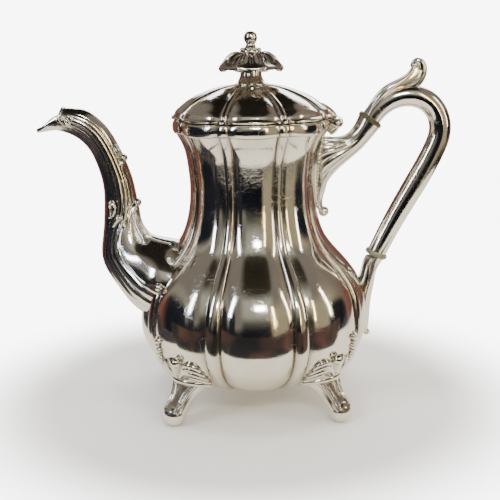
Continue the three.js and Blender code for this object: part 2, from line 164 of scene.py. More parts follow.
# %% From a skin to a finished piece
def piece(name, shape, material, body, replaces=(), slot=SILVER_SLOT, crease=42):
    """Makes the object in the shared frame: in metres, at the origin, smooth below `crease` degrees."""
    verts, quads, tris, hollow = shape
    mesh = bpy.data.meshes.new(name)
    corners = np.concatenate([quads.reshape(-1), tris.reshape(-1)]).astype(np.int32)
    totals = np.concatenate([np.full(len(quads), 4), np.full(len(tris), 3)])
    starts = np.concatenate([[0], np.cumsum(totals)[:-1]]).astype(np.int32)
    mesh.vertices.add(len(verts))
    mesh.vertices.foreach_set("co", (verts * MM + AXIS).astype(np.float32).ravel())
    mesh.loops.add(len(corners))
    mesh.loops.foreach_set("vertex_index", corners)
    mesh.polygons.add(len(totals))
    mesh.polygons.foreach_set("loop_start", starts)
    mesh.polygons.foreach_set("use_smooth", np.ones(len(totals), bool))
    mesh.attributes.new("hollow", "FLOAT", "POINT").data.foreach_set("value", hollow.astype(np.float32))
    mesh.update(calc_edges=True)
    mesh.validate()
    mesh.set_sharp_from_angle(angle=math.radians(crease))
    mesh.materials.append(material)
    made = bpy.data.objects.new(name, mesh)
    bpy.context.scene.collection.objects.link(made)
    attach(made, body)
    if replaces:
        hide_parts(*replaces)
    print(f"{name}: {len(verts)} points, {2 * len(quads) + len(tris)} triangles")
    return made


def casting(name, shapes, node, body="pot", crease=50):
    """A piece of cast silver from one or more shapes."""
    return piece(name, joined(*shapes), cast_silver, body, (node,), CAST_SLOT, crease)


# %% Ropes, turned pieces and beads
def dome(length, radius, t):
    """How a rope's radius closes to a round end: a quarter circle over the last radius of its length."""
    near = np.minimum(t, 1 - t) * length
    return np.sqrt(np.clip(1 - (1 - np.clip(near / np.maximum(radius, 1e-6), 0, 1)) ** 2, 1e-4, 1))


def rope(points, radii, steps=40, sides=14, up=(0, 1, 0), flat=1.0, hollow=0.0):
    """A round bar along a curve through the points, with its own radius at each and rounded ends. Its section
    is squeezed to `flat` along the direction `up`."""
    path = curve(np.column_stack([points, radii]), lead=3)
    ends = 0.5 - 0.5 * np.cos(np.linspace(0, np.pi, steps))
    t = 0.5 * ends + 0.5 * np.linspace(0, 1, steps)
    line = path(t)
    centre, radius = line[:, :3], line[:, 3]
    length = np.linalg.norm(np.diff(centre, axis=0), axis=1).sum()
    radius = radius * dome(length, radius, t)
    along = unit(np.gradient(centre, axis=0))
    across = unit(np.cross(along, np.asarray(up, float)))
    over = np.cross(across, along)
    angle = np.linspace(0, 2 * np.pi, sides, endpoint=False)
    cosine, sine = np.cos(angle)[None, :, None], np.sin(angle)[None, :, None]
    ring = cosine * across[:, None] + flat * sine * over[:, None]
    return sheet(centre[:, None] + radius[:, None, None] * ring, hollow=hollow, caps=(True, True))


def turned(outline, count=64, ripple=None, hollow=None, ring=False):
    """An outline of [radius, z] spun round the axis. ripple(angle, row) multiplies the radius. A ring closes
    on itself, and any other outline has its two ends capped."""
    outline = np.asarray(outline, float)
    angle = np.linspace(0, 2 * np.pi, count, endpoint=False)[None, :]
    radius = np.repeat(outline[:, :1], count, axis=1)
    if ripple is not None:
        radius = radius * ripple(angle, np.linspace(0, 1, len(outline))[:, None])
    z = np.repeat(outline[:, 1:2], count, axis=1)
    points = np.stack([radius * np.cos(angle), radius * np.sin(angle), z], axis=-1)
    return sheet(points, hollow=hollow, wrap_rows=ring, caps=(not ring, not ring))


def beads(centres, radius, rows=6, cols=9, squash=(1, 1, 1), hollow=0.0):
    """Small round beads at the centres, made from one low template ball."""
    centres = np.asarray(centres, float).reshape(-1, 3)
    radius = np.broadcast_to(np.asarray(radius, float), len(centres))
    tilt = np.linspace(0.12, np.pi - 0.12, rows)[:, None]
    spin = np.linspace(0, 2 * np.pi, cols, endpoint=False)[None, :]
    ball = np.stack([np.sin(tilt) * np.cos(spin), np.sin(tilt) * np.sin(spin), np.cos(tilt) + 0 * spin], -1)
    verts, quads, tris, shade = sheet(ball * np.asarray(squash), hollow=hollow, caps=(True, True))
    many = (centres[:, None] + radius[:, None, None] * verts[None]).reshape(-1, 3)
    shift = (np.arange(len(centres)) * len(verts))[:, None, None]
    quads = (quads[None] + shift).reshape(-1, 4)
    tris = (tris[None] + shift).reshape(-1, 3)
    return many, quads, tris, np.tile(shade, len(centres))


# %% [markdown]
# ## Finishes
# Electroplate is a thin, dense layer of silver, burnished until it mirrors the room. Years of wiping leave
# hair-fine scratches in every direction, and the cloth never reaches the grooves, so a brown sulphide tarnish
# stays there. One recipe covers the sheet metal and the castings: bright silver, a slow cloud in the gloss,
# scratches in the bump, and a brown, dull darkening led by how deep each point lies, which the grids store as
# `hollow`: partly that tarnish, and partly painted shade in the grooves, flutes, insides and undersides.


# %% Colours and nodes
def colour(code):
    """An sRGB hex code as the linear values that a shader takes."""
    parts = [int(code[i:i + 2], 16) / 255 for i in (1, 3, 5)]
    return (*[p / 12.92 if p <= 0.04045 else ((p + 0.055) / 1.055) ** 2.4 for p in parts], 1.0)


def add_node(tree, kind, inputs=None, **settings):
    """Adds one node. Each input is given either another node's output, which is linked, or a plain value."""
    node = tree.nodes.new(kind)
    for key, value in settings.items():
        setattr(node, key, value)
    for key, value in (inputs or {}).items():
        if isinstance(value, bpy.types.NodeSocket):
            tree.links.new(value, node.inputs[key])
        else:
            node.inputs[key].default_value = value
    return node


def maths(tree, operation, *terms, clamp=False):
    inputs = dict(enumerate(terms))
    return add_node(tree, "ShaderNodeMath", inputs, operation=operation, use_clamp=clamp).outputs[0]


def mapped(tree, source, low, high, to_low=0.0, to_high=1.0):
    """Carries the range from low to high over to to_low and to_high, and holds both ends."""
    limits = {"Value": source, "From Min": low, "From Max": high, "To Min": to_low, "To Max": to_high}
    return add_node(tree, "ShaderNodeMapRange", limits).outputs[0]


def noise(tree, place, scale, detail=2.0, roughness=0.5):
    inputs = {"Vector": place, "Scale": scale, "Detail": detail, "Roughness": roughness}
    return add_node(tree, "ShaderNodeTexNoise", inputs).outputs


def mixed_tone(tree, factor, first, second):
    """A colour that goes from `first` to `second` with the factor."""
    inputs = {"Factor": factor, 6: first, 7: second}
    return add_node(tree, "ShaderNodeMix", inputs, data_type="RGBA").outputs[2]


def bumped(tree, height, strength, distance, normal=None):
    inputs = {"Height": height, "Strength": strength, "Distance": distance}
    if normal:
        inputs["Normal"] = normal
    return add_node(tree, "ShaderNodeBump", inputs).outputs[0]


def principled(tree, inputs):
    return add_node(tree, "ShaderNodeBsdfPrincipled", inputs).outputs[0]


def blank(name):
    """A new material with only its output, and that output node."""
    material = bpy.data.materials.new(name)
    material.use_nodes = True
    material.node_tree.nodes.clear()
    return material, material.node_tree, add_node(material.node_tree, "ShaderNodeOutputMaterial")


def ramp(tree, source, stops):
    """A colour ramp from a list of (place, colour)."""
    node = add_node(tree, "ShaderNodeValToRGB", {"Fac": source})
    while len(node.color_ramp.elements) < len(stops):
        node.color_ramp.elements.new(0.5)
    for element, (place, value) in zip(node.color_ramp.elements, stops):
        element.position = place
        element.color = value
    return node.outputs["Color"]


# %% Silver plate
def silver(name, gloss, worn, tarnish_and_shade, scratch, swirls=0.0):
    """Burnished silver. gloss and worn are the roughness where it is polished and where it is rubbed dull,
    tarnish is how strongly the hollows turn brown, dark and dull, as a sulphide layer and as painted shade,
    scratch and swirls are how strongly the hairlines and the swirl marks show."""
    material, tree, output = blank(name)
    place = add_node(tree, "ShaderNodeTexCoord").outputs["Object"]
    cloud = noise(tree, place, 38.0, 5.0, 0.62)["Fac"]
    speck = noise(tree, place, 900.0)["Fac"]
    # wiping marks: noise drawn out 30 times along one tilted direction, twice, about 0.3 mm apart
    hairs = []
    for tilt, squeeze in (((0.3, 0.9, 0.2), (2600, 90, 2600)), ((1.2, -0.4, 0.9), (80, 2400, 2400))):
        lie = add_node(tree, "ShaderNodeMapping", {"Vector": place, "Rotation": tilt, "Scale": squeeze})
        hair = noise(tree, lie.outputs[0], 1.0, 1.0)["Fac"]
        hairs.append(ramp(tree, hair, [(0.60, colour("#000000")), (0.74, colour("#ffffff"))]))
    both = maths(tree, "MAXIMUM", *hairs)
    # swirl marks from a polishing cloth: thin curved lines in patches, some 6 mm apart
    warp = noise(tree, place, 55.0)["Color"]
    bent = add_node(tree, "ShaderNodeVectorMath", {0: warp, 1: (0.03, 0.03, 0.03)}, operation="MULTIPLY")
    curled = add_node(tree, "ShaderNodeVectorMath", {0: place, 1: bent.outputs[0]}, operation="ADD")
    lines = {"Vector": curled.outputs[0], "Scale": 160.0}
    web = add_node(tree, "ShaderNodeTexVoronoi", lines, feature="DISTANCE_TO_EDGE")
    swirl = mapped(tree, web.outputs["Distance"], 0.03, 0.0)
    swirl = maths(tree, "MULTIPLY", swirl, mapped(tree, cloud, 0.48, 0.60))
    swirl = maths(tree, "MULTIPLY", swirl, swirls)
    deep = add_node(tree, "ShaderNodeAttribute", attribute_name="hollow").outputs["Fac"]
    # painted shade: where `hollow` is high the silver turns brown and dull, partly a sulphide tarnish and
    # partly painted shade in grooves, insides and undersides
    tarnish_and_shade_mask = maths(tree, "MULTIPLY", deep, mapped(tree, cloud, 0.3, 0.7, 0.55, 1.0))
    tarnish_and_shade_mask = maths(tree, "MULTIPLY", tarnish_and_shade_mask, tarnish_and_shade, clamp=True)
    haze = ramp(tree, cloud, [(0.35, colour("#e8e5dc")), (0.68, colour("#dcd7cb"))])
    rub = mapped(tree, cloud, 0.42, 0.66, gloss, worn)
    for mark, dulling in ((both, 0.07), (tarnish_and_shade_mask, 0.22), (swirl, 0.30)):
        rub = maths(tree, "MULTIPLY_ADD", mark, dulling, rub)
    fine = maths(tree, "MULTIPLY_ADD", speck, 0.35, both)
    bump = bumped(tree, swirl, 0.8, -0.00003, bumped(tree, fine, scratch, 0.00002))
    # the brown mixed in here is painted shade as well as the colour of tarnish
    tint = mixed_tone(tree, tarnish_and_shade_mask, haze, colour("#6d5536"))
    shader = principled(tree, {"Base Color": tint, "Roughness": rub, "Normal": bump, "Metallic": 1.0})
    tree.links.new(shader, output.inputs["Surface"])
    return material


sheet_silver = silver("burnished_electroplated_sheet", 0.055, 0.11, tarnish_and_shade=0.8, scratch=0.3, swirls=0.6)
cast_silver = silver("burnished_electroplated_casting", 0.09, 0.16, tarnish_and_shade=1.0, scratch=0.3)
print("silver finishes:", sheet_silver.name, cast_silver.name)


# %% Bone rings and plain pins
def bone(name, pale, dark):
    """Turned bone, stained by heat and polish: fine pores drawn out along the grain and a waxy surface."""
    material, tree, output = blank(name)
    place = add_node(tree, "ShaderNodeTexCoord").outputs["Object"]
    stretch = add_node(tree, "ShaderNodeMapping", {"Vector": place, "Scale": (260, 260, 1500)}).outputs[0]
    grain = noise(tree, stretch, 1.0, 6.0)["Fac"]
    stain = noise(tree, place, 160.0, 3.0)["Fac"]
    tone = ramp(tree, maths(tree, "MULTIPLY", grain, stain), [(0.12, colour(dark)), (0.42, colour(pale))])
    look = {"Base Color": tone, "Normal": bumped(tree, grain, 0.3, 0.00008), "Roughness": 0.42, "IOR": 1.54,
            "Subsurface Weight": 0.08, "Subsurface Scale": 0.002}
    tree.links.new(principled(tree, look), output.inputs["Surface"])
    return material


olive_bone = bone("stained_bone_olive", "#554d2a", "#241f0f")
grey_bone = bone("stained_bone_grey", "#97957c", "#4f4e3c")
white_metal = silver("plain_white_metal", 0.22, 0.34, tarnish_and_shade=0.6, scratch=0.5)

# %% [markdown]
# ## The lobed section
# Seen from above, the pot is eight wide lobes with a narrow round rib between each two. A lobe falls away
# from its crest as a power of the distance to its edge, and a rib is a half-round bar that fills the groove
# part of the way back. The grid has its lines exactly on the grooves, so that they stay crisp.

# %% Grid lines of the lobed section
LOBES = 8
PITCH = 2 * np.pi / LOBES
RIB_HALF = np.radians(4.0)
LOBE_POWER = 2.9
RIB_RISE = 0.76
lobe_lines = np.linspace(-1, 1, 23)
rib_lines = np.linspace(0, np.pi / 2, 7)[1:]
rising, falling = len(rib_lines), len(rib_lines) - 1
SHARE = np.tile(np.concatenate([lobe_lines, np.ones(rising), -np.ones(falling)]), LOBES)
THETA = np.tile(np.concatenate([0 * lobe_lines, rib_lines, rib_lines[-2::-1]]), LOBES)
own = np.concatenate([np.zeros(len(lobe_lines) + rising), np.full(falling, PITCH)])
MIDDLE = np.repeat(np.arange(LOBES), len(own)) * PITCH + np.tile(own, LOBES)
SIDE = np.where(SHARE < 0, -1, 1)
print("lines round the pot:", len(SHARE))


def normals_of(outline):
    """The normals of an outline of [radius, z], pointing outwards when it runs upwards."""
    along = unit(np.gradient(outline, axis=0))
    return np.stack([along[:, 1], -along[:, 0]], axis=-1)


def offset_line(outline, distance):
    return outline + distance * normals_of(outline)


def lobed(outline, depth, rib_half=RIB_HALF, level=False, sag=0.0, power=LOBE_POWER, rise=RIB_RISE):
    """An outline of [radius, z] carried round the pot. Each point is pushed in, level or along the outline's
    normal, by depth x (share of the way to the groove ^ power - rise x sine of the rib's own angle)."""
    outline = np.asarray(outline, float)
    normals = np.tile([1.0, 0.0], (len(outline), 1)) if level else normals_of(outline)
    depth = np.broadcast_to(depth, len(outline))[:, None]
    rib = np.broadcast_to(rib_half, len(outline))[:, None]
    lobe = PITCH / 2 - rib
    angle = MIDDLE + SIDE * (lobe * np.abs(SHARE) + rib * (1 - np.cos(THETA)))
    drop = depth * (np.abs(SHARE) ** power - rise * np.sin(THETA))
    radius = outline[:, :1] - drop * normals[:, :1]
    z = outline[:, 1:] - drop * normals[:, 1:] - sag * (1 - np.abs(SHARE) ** 2) + 0 * angle
    # painted shade and tarnish in the grooves: darkest at a lobe's edge, lighter on the rib's top
    hollow = np.abs(SHARE) ** 14 * (1 - 0.85 * np.sin(THETA)) * np.ones_like(angle)
    points = np.stack([radius * np.cos(angle), radius * np.sin(angle), z], axis=-1)
    return points, hollow


def body_drop(angle, depth):
    """The same fall, for any angle round the pot."""
    offset = np.abs(angle / PITCH - np.round(angle / PITCH)) * PITCH
    lobe = PITCH / 2 - RIB_HALF
    share = np.clip(offset / lobe, 0, 1)
    sine = np.sqrt(np.clip(1 - (1 - np.clip((offset - lobe) / RIB_HALF, 0, 1)) ** 2, 0, 1))
    return depth * (share**LOBE_POWER - RIB_RISE * sine * (offset > lobe))


# %% [markdown]
# ## The body
# The body was pressed in two halves and soldered under the spout and the handle, so the joint hides behind
# the castings. It is drawn as one wall with an outside and an inside, with the outlet to the spout cut
# through both: the grid leaves out the cells over the hole and walls up their edges.

# %% The body's outline and wall
BODY_POINTS = [
    (36, 17), (47, 19.2), (57, 23.6), (66, 30.4), (72.6, 40), (75.9, 52), (75.3, 65), (72.0, 79.2),
    (64.9, 90.9), (56.0, 101.3), (48.4, 111), (44.0, 121.8), (41.6, 134), (41.1, 147), (42.2, 159.5),
    (44.9, 172.3), (49.5, 181),
]
WALL = 1.3
GROOVE_SHARE = 0.05
OUTLET = (88.0, 11.0, 10.0)  # the hole to the spout: height of its middle, half width, half height
body_line = curve(BODY_POINTS)(np.linspace(0, 1, 150))
body_depth = GROOVE_SHARE * body_line[:, 0] * smooth(np.linspace(0, 1, 150), 0, 0.1)


def body_radius(z, angle):
    """Distance from the axis to the lobed surface at a height and an angle."""
    crest = np.interp(z, body_line[:, 1], body_line[:, 0])
    return crest - body_drop(angle, np.interp(z, body_line[:, 1], body_depth))


def outside_body(points):
    """How far points stand outside the body's surface, measured level; negative inside."""
    reach = np.hypot(points[..., 0], points[..., 1])
    return reach - body_radius(points[..., 2], np.arctan2(points[..., 1], points[..., 0]))


def body_shell():
    """The whole wall as one loop, outside and back down the inside, with the outlet marked on both."""
    outer, shade = lobed(body_line, body_depth)
    inner_line = offset_line(body_line, -WALL)
    inner_line[-1] = (body_line[-1, 0] - WALL, body_line[-1, 1])
    inner, _ = lobed(inner_line, body_depth)
    rows, cols = outer.shape[:2]
    points = np.concatenate([outer, inner[::-1]])
    # painted shade: the inner side of the wall is darkened throughout by a fixed hollow of 0.35
    hollow = np.concatenate([shade, 0.35 + 0 * shade])
    beside = np.roll(outer, -1, axis=1)
    cell = (outer[:-1] + outer[1:] + beside[:-1] + beside[1:]) / 4
    height, half_width, half_height = OUTLET
    oval = (cell[..., 1] / half_width) ** 2 + ((cell[..., 2] - height) / half_height) ** 2
    hole = (cell[..., 0] < 0) & (oval < 1)
    cells = np.zeros((2 * rows, cols), bool)
    cells[: rows - 1] = hole
    cells[rows:2 * rows - 1] = hole[::-1]
    return cut_window(points, hollow, cells, hole)


def cut_window(points, hollow, cells, hole):
    """The looped wall without the marked cells, plus the small walls between its outside and its inside."""
    double, cols = points.shape[:2]
    rows = double // 2
    outer = np.arange(rows * cols).reshape(rows, cols)
    inner = (np.arange(rows * cols) + rows * cols).reshape(rows, cols)[::-1]
    outer, inner = (np.concatenate([g, g[:, :1]], axis=1) for g in (outer, inner))
    index = np.concatenate([outer, inner[::-1], outer[:1]])
    quads = cells_of(index)[~cells]
    walls = []
    for step, (first, second) in {(1, 0): ((1, 1), (1, 0)), (-1, 0): ((0, 0), (0, 1)),
                                  (0, 1): ((0, 1), (1, 1)), (0, -1): ((1, 0), (0, 0))}.items():
        edge = hole & ~np.roll(hole, (-step[0], -step[1]), axis=(0, 1))
        i, j = np.nonzero(edge)
        a, b = (i + first[0], j + first[1]), (i + second[0], j + second[1])
        walls.append(np.stack([outer[a], outer[b], inner[b], inner[a]], axis=-1))
    quads = np.vstack([quads.reshape(-1, 4), *walls])
    return outward((points.reshape(-1, 3), quads, np.zeros((0, 3), int), hollow.reshape(-1)))


piece("body_shell", body_shell(), sheet_silver, "pot", ("body_front_half", "body_back_half"), crease=38)

# %% [markdown]
# ## The base plate
# A shallow spun disc with a raised edge, soldered inside the foot ring of the body. It closes the pot from
# below, and a turned outline is all that it needs.

# %% The base plate's disc
plate_line = [(0.4, 18.0), (20, 17.9), (30, 17.6), (33.4, 17.3), (35.2, 17.2), (35.5, 17.6), (35.5, 18.4),
              (34, 18.7), (30, 19.0), (0.4, 19.2)]
piece("base_plate_disc", turned(plate_line, 96), sheet_silver, "pot", ("base_plate",))

# %% [markdown]
# ## The rim collar
# A half-round wire bent to the eight lobes and soldered round the mouth, to stiffen it. Between the ribs its
# lower edge hangs a little, so the lobed section is given a sag that is strongest at the bottom.

# %% The rim collar's ring
loop = np.linspace(0, 2 * np.pi, 36, endpoint=False)
collar_bulge = np.where(np.cos(loop) > 0, 2.3, 1.2) * np.sign(np.cos(loop)) * np.abs(np.cos(loop)) ** 0.8
collar_line = np.column_stack([49.2 + collar_bulge, 185.4 + 3.9 * np.sin(loop)])
collar_sag = (1.0 * smooth(-np.sin(loop), -0.2, 1.0))[:, None]
collar, collar_shade = lobed(collar_line, 1.9, level=True, sag=collar_sag)
piece("rim_bead", sheet(collar, collar_shade, wrap_rows=True), sheet_silver, "pot", ("rim_collar",))

# %% [markdown]
# ## The lid
# The lid carries the same eight lobes up to the finial. Its ribs keep nearly one width all the way in, so
# they take a wider angle the nearer they come to the middle. Under its rim sits the bezel, a plain ring that
# drops into the mouth and keeps the lid in place.

# %% The lid's dome
LID_POINTS = [
    (50.2, 189.7), (51.4, 189.8), (52.0, 190.5), (51.7, 191.4), (50.7, 192.0), (49.6, 194.0), (46.6, 197.2),
    (42.0, 200.9), (36.3, 204.1), (30.6, 206.6), (24.0, 208.9), (16.5, 210.5), (9.0, 211.2),
]
lid_line = curve(LID_POINTS)(np.linspace(0, 1, 90))
lid_reach = lid_line[:, 0]
lid_depth = 1.9 * smooth(lid_reach, 6, 34) + 0.25
lid_rib = np.minimum(1.25 / lid_reach + np.radians(1.5), PITCH * 0.3)
lid_outer, lid_shade = lobed(lid_line, lid_depth, rib_half=lid_rib, rise=0.95)
under_line = offset_line(lid_line, -WALL)[8:]
under_line = np.concatenate([[(46.5, 189.8), (46.4, 191.4)], under_line[under_line[:, 0] < 46]])
lid_under, _ = lobed(under_line, 0.9 * smooth(under_line[:, 0], 6, 34))
lid_skin = np.concatenate([lid_outer, lid_under[::-1]])
# painted shade: the lid's underside is darkened throughout by a fixed hollow of 0.3
lid_hollow = np.concatenate([lid_shade * 0.8, 0.3 + np.zeros(lid_under.shape[:2])])
lid_shape = sheet(lid_skin, lid_hollow, wrap_rows=True)
piece("lid_dome_sheet", lid_shape, sheet_silver, "lid", ("lid_dome",), crease=38)

# %% The bezel inside the lid
bezel_line = [(44.6, 179.5), (45.4, 179.3), (45.9, 179.9), (45.8, 183), (45.8, 192), (44.5, 192), (44.5, 183)]
bezel, bezel_shade = lobed(bezel_line, 1.6, level=True)
piece("lid_bezel_ring", sheet(bezel, bezel_shade, wrap_rows=True), sheet_silver, "lid", ("lid_bezel",))


# %% [markdown]
# ## Cast and chased pieces
# The spout, sockets and feet were cast, then chased and soldered on. A casting is drawn between two side
# outlines, an inner and an outer one, joined by rounded sections, and on the spout each line starts just
# where it comes out of the body. Reeds, scrolls and leaf edges are half-buried bars laid along tracks on its
# surface.


# %% Thick sheets and lofted castings
def slab(outer, inner, hollow=0.0):
    """Two grids of the same size, one above the other, closed round all four edges."""
    rows, cols = outer.shape[:2]
    top = np.arange(rows * cols).reshape(rows, cols)
    low = top + rows * cols
    quads = []
    for grid, order in ((top, (0, 1, 2, 3)), (low, (3, 2, 1, 0))):
        quads.append(cells_of(grid).reshape(-1, 4)[:, order])
    a, b = (np.concatenate([g[0], g[1:, -1], g[-1, -2::-1], g[-2::-1, 0]]) for g in (top, low))
    quads.append(np.stack([a[1:], a[:-1], b[:-1], b[1:]], axis=-1))
    verts = np.vstack([outer.reshape(-1, 3), inner.reshape(-1, 3)])
    shade = np.broadcast_to(hollow, (rows, cols)).reshape(-1)
    # painted shade: the lower grid is darkened more than the upper one, by half its hollow plus 0.3
    hollow = np.concatenate([shade, 0.5 * shade + 0.3])
    return outward((verts, np.vstack(quads), np.zeros((0, 3), int), hollow))


def loft(stations, form=None):
    """Stations are [inner x, inner z, outer x, outer z, half width]. Returns surface(t, angle, inset), where
    angle 0 is the outer edge and pi the inner one, and form(t, angle) multiplies the section's radius."""
    path = curve(stations, lead=4)

    def surface(t, angle, inset=0.0):
        line = path(t)
        middle = (line[..., 0:2] + line[..., 2:4]) / 2
        reach = (line[..., 2:4] - line[..., 0:2]) / 2
        swell = form(t, angle) if form else 1.0
        size = np.linalg.norm(reach, axis=-1)
        depth = np.maximum(size - inset, 0.2) / size * np.cos(angle) * swell
        width = np.maximum(line[..., 4] - inset, 0.2) * np.sin(angle) * swell
        x = middle[..., 0] + reach[..., 0] * depth
        z = middle[..., 1] + reach[..., 1] * depth
        return np.stack([x, width + 0 * x, z], axis=-1)

    return surface


def tube(stations, form=None):
    """Stations are [x, z, half depth, half width] of a tube in the upright plane. Returns surface(t, angle,
    inset), where angle 0 is the side to the left of the path."""
    path = curve(stations)

    def surface(t, angle, inset=0.0):
        line = path(t)
        ahead = path(np.clip(t + 1e-3, 0, 1)) - path(np.clip(t - 1e-3, 0, 1))
        tangent = unit(ahead[..., :2])
        swell = form(t, angle) if form else 1.0
        depth = (line[..., 2] - inset) * np.cos(angle) * swell
        width = (line[..., 3] - inset) * np.sin(angle) * swell
        x = line[..., 0] - tangent[..., 1] * depth
        return np.stack([x, width + 0 * x, line[..., 1] + tangent[..., 0] * depth], axis=-1)

    return surface


def emerge(surface, angle, samples=600):
    """For each angle, the last t at which the surface is still inside the body."""
    t = np.linspace(0, 1, samples)[:, None]
    buried = outside_body(surface(t + 0 * angle, angle + 0 * t)) < -0.1
    last = samples - 1 - np.argmax(buried[::-1], axis=0)
    return np.where(buried.any(axis=0), last / (samples - 1), 0.0)


def skin(surface, rows, cols, shade=None):
    """The closed outside of a loft or a tube."""
    angle = np.linspace(0, 2 * np.pi, cols, endpoint=False)
    t = np.linspace(0, 1, rows)[:, None] + 0 * angle
    angle = angle + 0 * t
    return sheet(surface(t, angle), hollow=shade(t, angle) if shade else None, caps=(True, True))


def trail(surface, track, radii, lift=0.0, hollow=0.0):
    """A bar along a track of (t, angle in degrees) on a surface, and its mirror twin on the far side."""
    track = np.asarray(track, float)
    steps = np.linspace(0, 1, 24)
    even = 3  # a whole length counts as about three radians, which spaces the curve's knots evenly
    path = curve(np.column_stack([track[:, 0] * even, np.radians(track[:, 1])]))(steps)
    t, angle = path[:, 0] / even, path[:, 1]
    thick = np.interp(steps, np.linspace(0, 1, len(radii)), radii)
    twins = [surface(t, sign * angle, -lift * np.ones_like(t)) for sign in (1, -1)]
    return joined(*[rope(points, thick, 44, 10, up=(0.01, 1, 0.02), hollow=hollow) for points in twins])


def from_outer(angle):
    """How far round a section an angle lies from its outer edge, from 0 to pi."""
    return np.abs((angle + np.pi) % (2 * np.pi) - np.pi)


def reeds(angle, low, high, count):
    """Half-round bars between two angles: 1 on their tops and outside the band, 0 between them."""
    place = (angle - low) / (high - low) * count
    across = 2 * (place - np.floor(place)) - 1
    inside = (place > 0) & (place < count)
    return np.where(inside, np.sqrt(np.clip(1 - across**2, 0, 1)), 1.0)


# %% [markdown]
# ## The spout
# A swan-neck spout with a broad smooth back, three reeds down each side, and a swelling bulb panel where it
# joins the belly. Its head is a hood over an open lip. The reeds bend outwards round the bulb, so the band
# that they fill moves with the distance along the spout.

# %% The spout's outlines
SPOUT = [
    (-46, 107, -66, 56, 30), (-54, 109.2, -80, 65, 27.5), (-63.5, 111.2, -91, 79, 20),
    (-70, 114.8, -98.3, 91, 14.5), (-73.7, 121, -100.9, 101, 11.6), (-75.2, 129, -99.5, 115, 9.8),
    (-76.5, 137.5, -98, 131, 8.8), (-78.6, 149.9, -97.9, 146.2, 7.8), (-82.8, 163, -100.6, 158.5, 7.5),
    (-88.6, 175.8, -104.8, 169, 7.6), (-96.6, 188, -110.5, 176.2, 7.9), (-105.3, 194.9, -116, 180, 8.2),
    (-114, 197.6, -121.8, 182.4, 8.2), (-121.4, 197.8, -126.5, 183.4, 7.7), (-127.6, 195, -131.2, 183.1, 6.4),
    (-133.8, 189.4, -135.6, 182.4, 5.0), (-138.8, 186.6, -138.6, 182.0, 3.3),
]
SPOUT_WALL = 1.4
knots = np.concatenate([[0], np.cumsum(np.linalg.norm(np.diff(np.array(SPOUT)[:, :4], axis=0), axis=1))])
knots = knots / knots[-1]


def spout_at(station):
    """The curve's t at a station number, whole or between two."""
    return np.interp(station, np.arange(len(knots)), knots)


def spout_bands(t):
    """Where the reeds start and end on the side, in radians from the outer edge."""
    neck = smooth(t, spout_at(3.2), spout_at(6.4))
    return np.radians(30 + 34 * neck), np.radians(80 + 50 * neck)


def spout_form(t, angle):
    """The side's reeds, the bulb above them, a keel with two shallow steps, and a smooth head."""
    turn = from_outer(angle)
    low, high = spout_bands(t)
    fade = smooth(1 - t, 1 - spout_at(12.2), 1 - spout_at(11.2))
    cut = 0.065 * fade * (1 - reeds(turn, low, high, 3))
    bulb = np.exp(-(((turn - high - 0.48) / 0.42) ** 2)) * smooth(1 - t, 1 - spout_at(5.6), 1 - spout_at(3.5))
    keel = 0.03 * (1 - reeds(turn, 0.0, low, 2)) * smooth(1 - t, 1 - spout_at(4.3), 1 - spout_at(3.8))
    ridge = 0.05 * smooth(turn, np.radians(160), np.pi) * fade
    return 1 - cut - keel + 0.10 * bulb + ridge


def spout_shade(t, angle):
    turn = from_outer(angle)
    low, high = spout_bands(t)
    return (1 - reeds(turn, low, high, 3)) ** 1.5 * 0.9


spout_surface = loft(SPOUT, spout_form)
across = np.linspace(-1, 1, 161)
spout_first = emerge(spout_surface, across * np.pi)
spout_t = spout_first + (1 - spout_first) * np.linspace(0, 1, 220)[:, None]
# at the lip the section opens towards the top, first quickly and then slowly
opening = np.pi - 1.08 * smooth(spout_t, spout_at(12.85), spout_at(13.2))
opening = opening - 0.30 * smooth(spout_t, spout_at(13.2), 1)
spout_angle = across * opening
spout_out = spout_surface(spout_t, spout_angle)
spout_in = spout_surface(spout_t, spout_angle, SPOUT_WALL * (1 - 0.2 * smooth(spout_t, spout_at(13), 1)))

# %% Scrolls and leaf edges on the spout
# each bar: its track as (station, degrees from the outer edge), its radii, and how far it stands out
SPOUT_BARS = [
    # the leaf collar half way up: a curl on the back, crossing leaf edges and a ring on the inner edge
    ([(5.55, 56), (6.0, 52), (6.25, 62), (5.9, 72), (5.6, 66)], [1.4, 1.7, 1.6, 1.0], 0.3),
    ([(5.1, 66), (5.3, 78), (5.4, 92), (5.3, 104)], [1.2, 2.0, 1.2], 0.1),
    ([(4.5, 104), (5.2, 104), (5.8, 110), (6.5, 116), (7.2, 112)], [0.8, 1.7, 1.7, 0.5], 0.0),
    ([(4.6, 118), (5.1, 126), (5.5, 140), (5.7, 160)], [0.9, 1.8, 2.2, 1.8], 0.1),
    # the leaf tip curled over the inner edge higher up
    ([(6.9, 124), (7.6, 127), (8.0, 142), (8.1, 160)], [0.7, 1.3, 1.7, 1.4], 0.0),
    # edges of the bulb panel
    ([(1.2, 86), (2.4, 82), (3.8, 84), (5.0, 98), (5.8, 116)], [0.9, 1.1, 0.8, 0.5], -0.1),
    ([(0.9, 163), (2.6, 160), (4.2, 156), (5.6, 140)], [0.8, 1.1, 0.9, 0.5], -0.1),
    # the hood's front edge
    ([(12.0, 60), (12.9, 88), (13.02, 120), (13.02, 150), (13.0, 180)], [0.5, 0.9, 0.9, 0.9], 0.1),
]
LEAF_TIPS = [(5.75, 2.9), (8.15, 2.6)]  # station and radius of the bead at each leaf's tip
EYE_X, EYE_Y, EYE_Z = -118.2, 8.0, 190.2
spout_work = [slab(spout_out, spout_in, spout_shade(spout_t, spout_angle))]
for track, radii, lift in SPOUT_BARS:
    track = [(spout_at(station), turn) for station, turn in track]
    spout_work.append(trail(spout_surface, track, radii, lift))
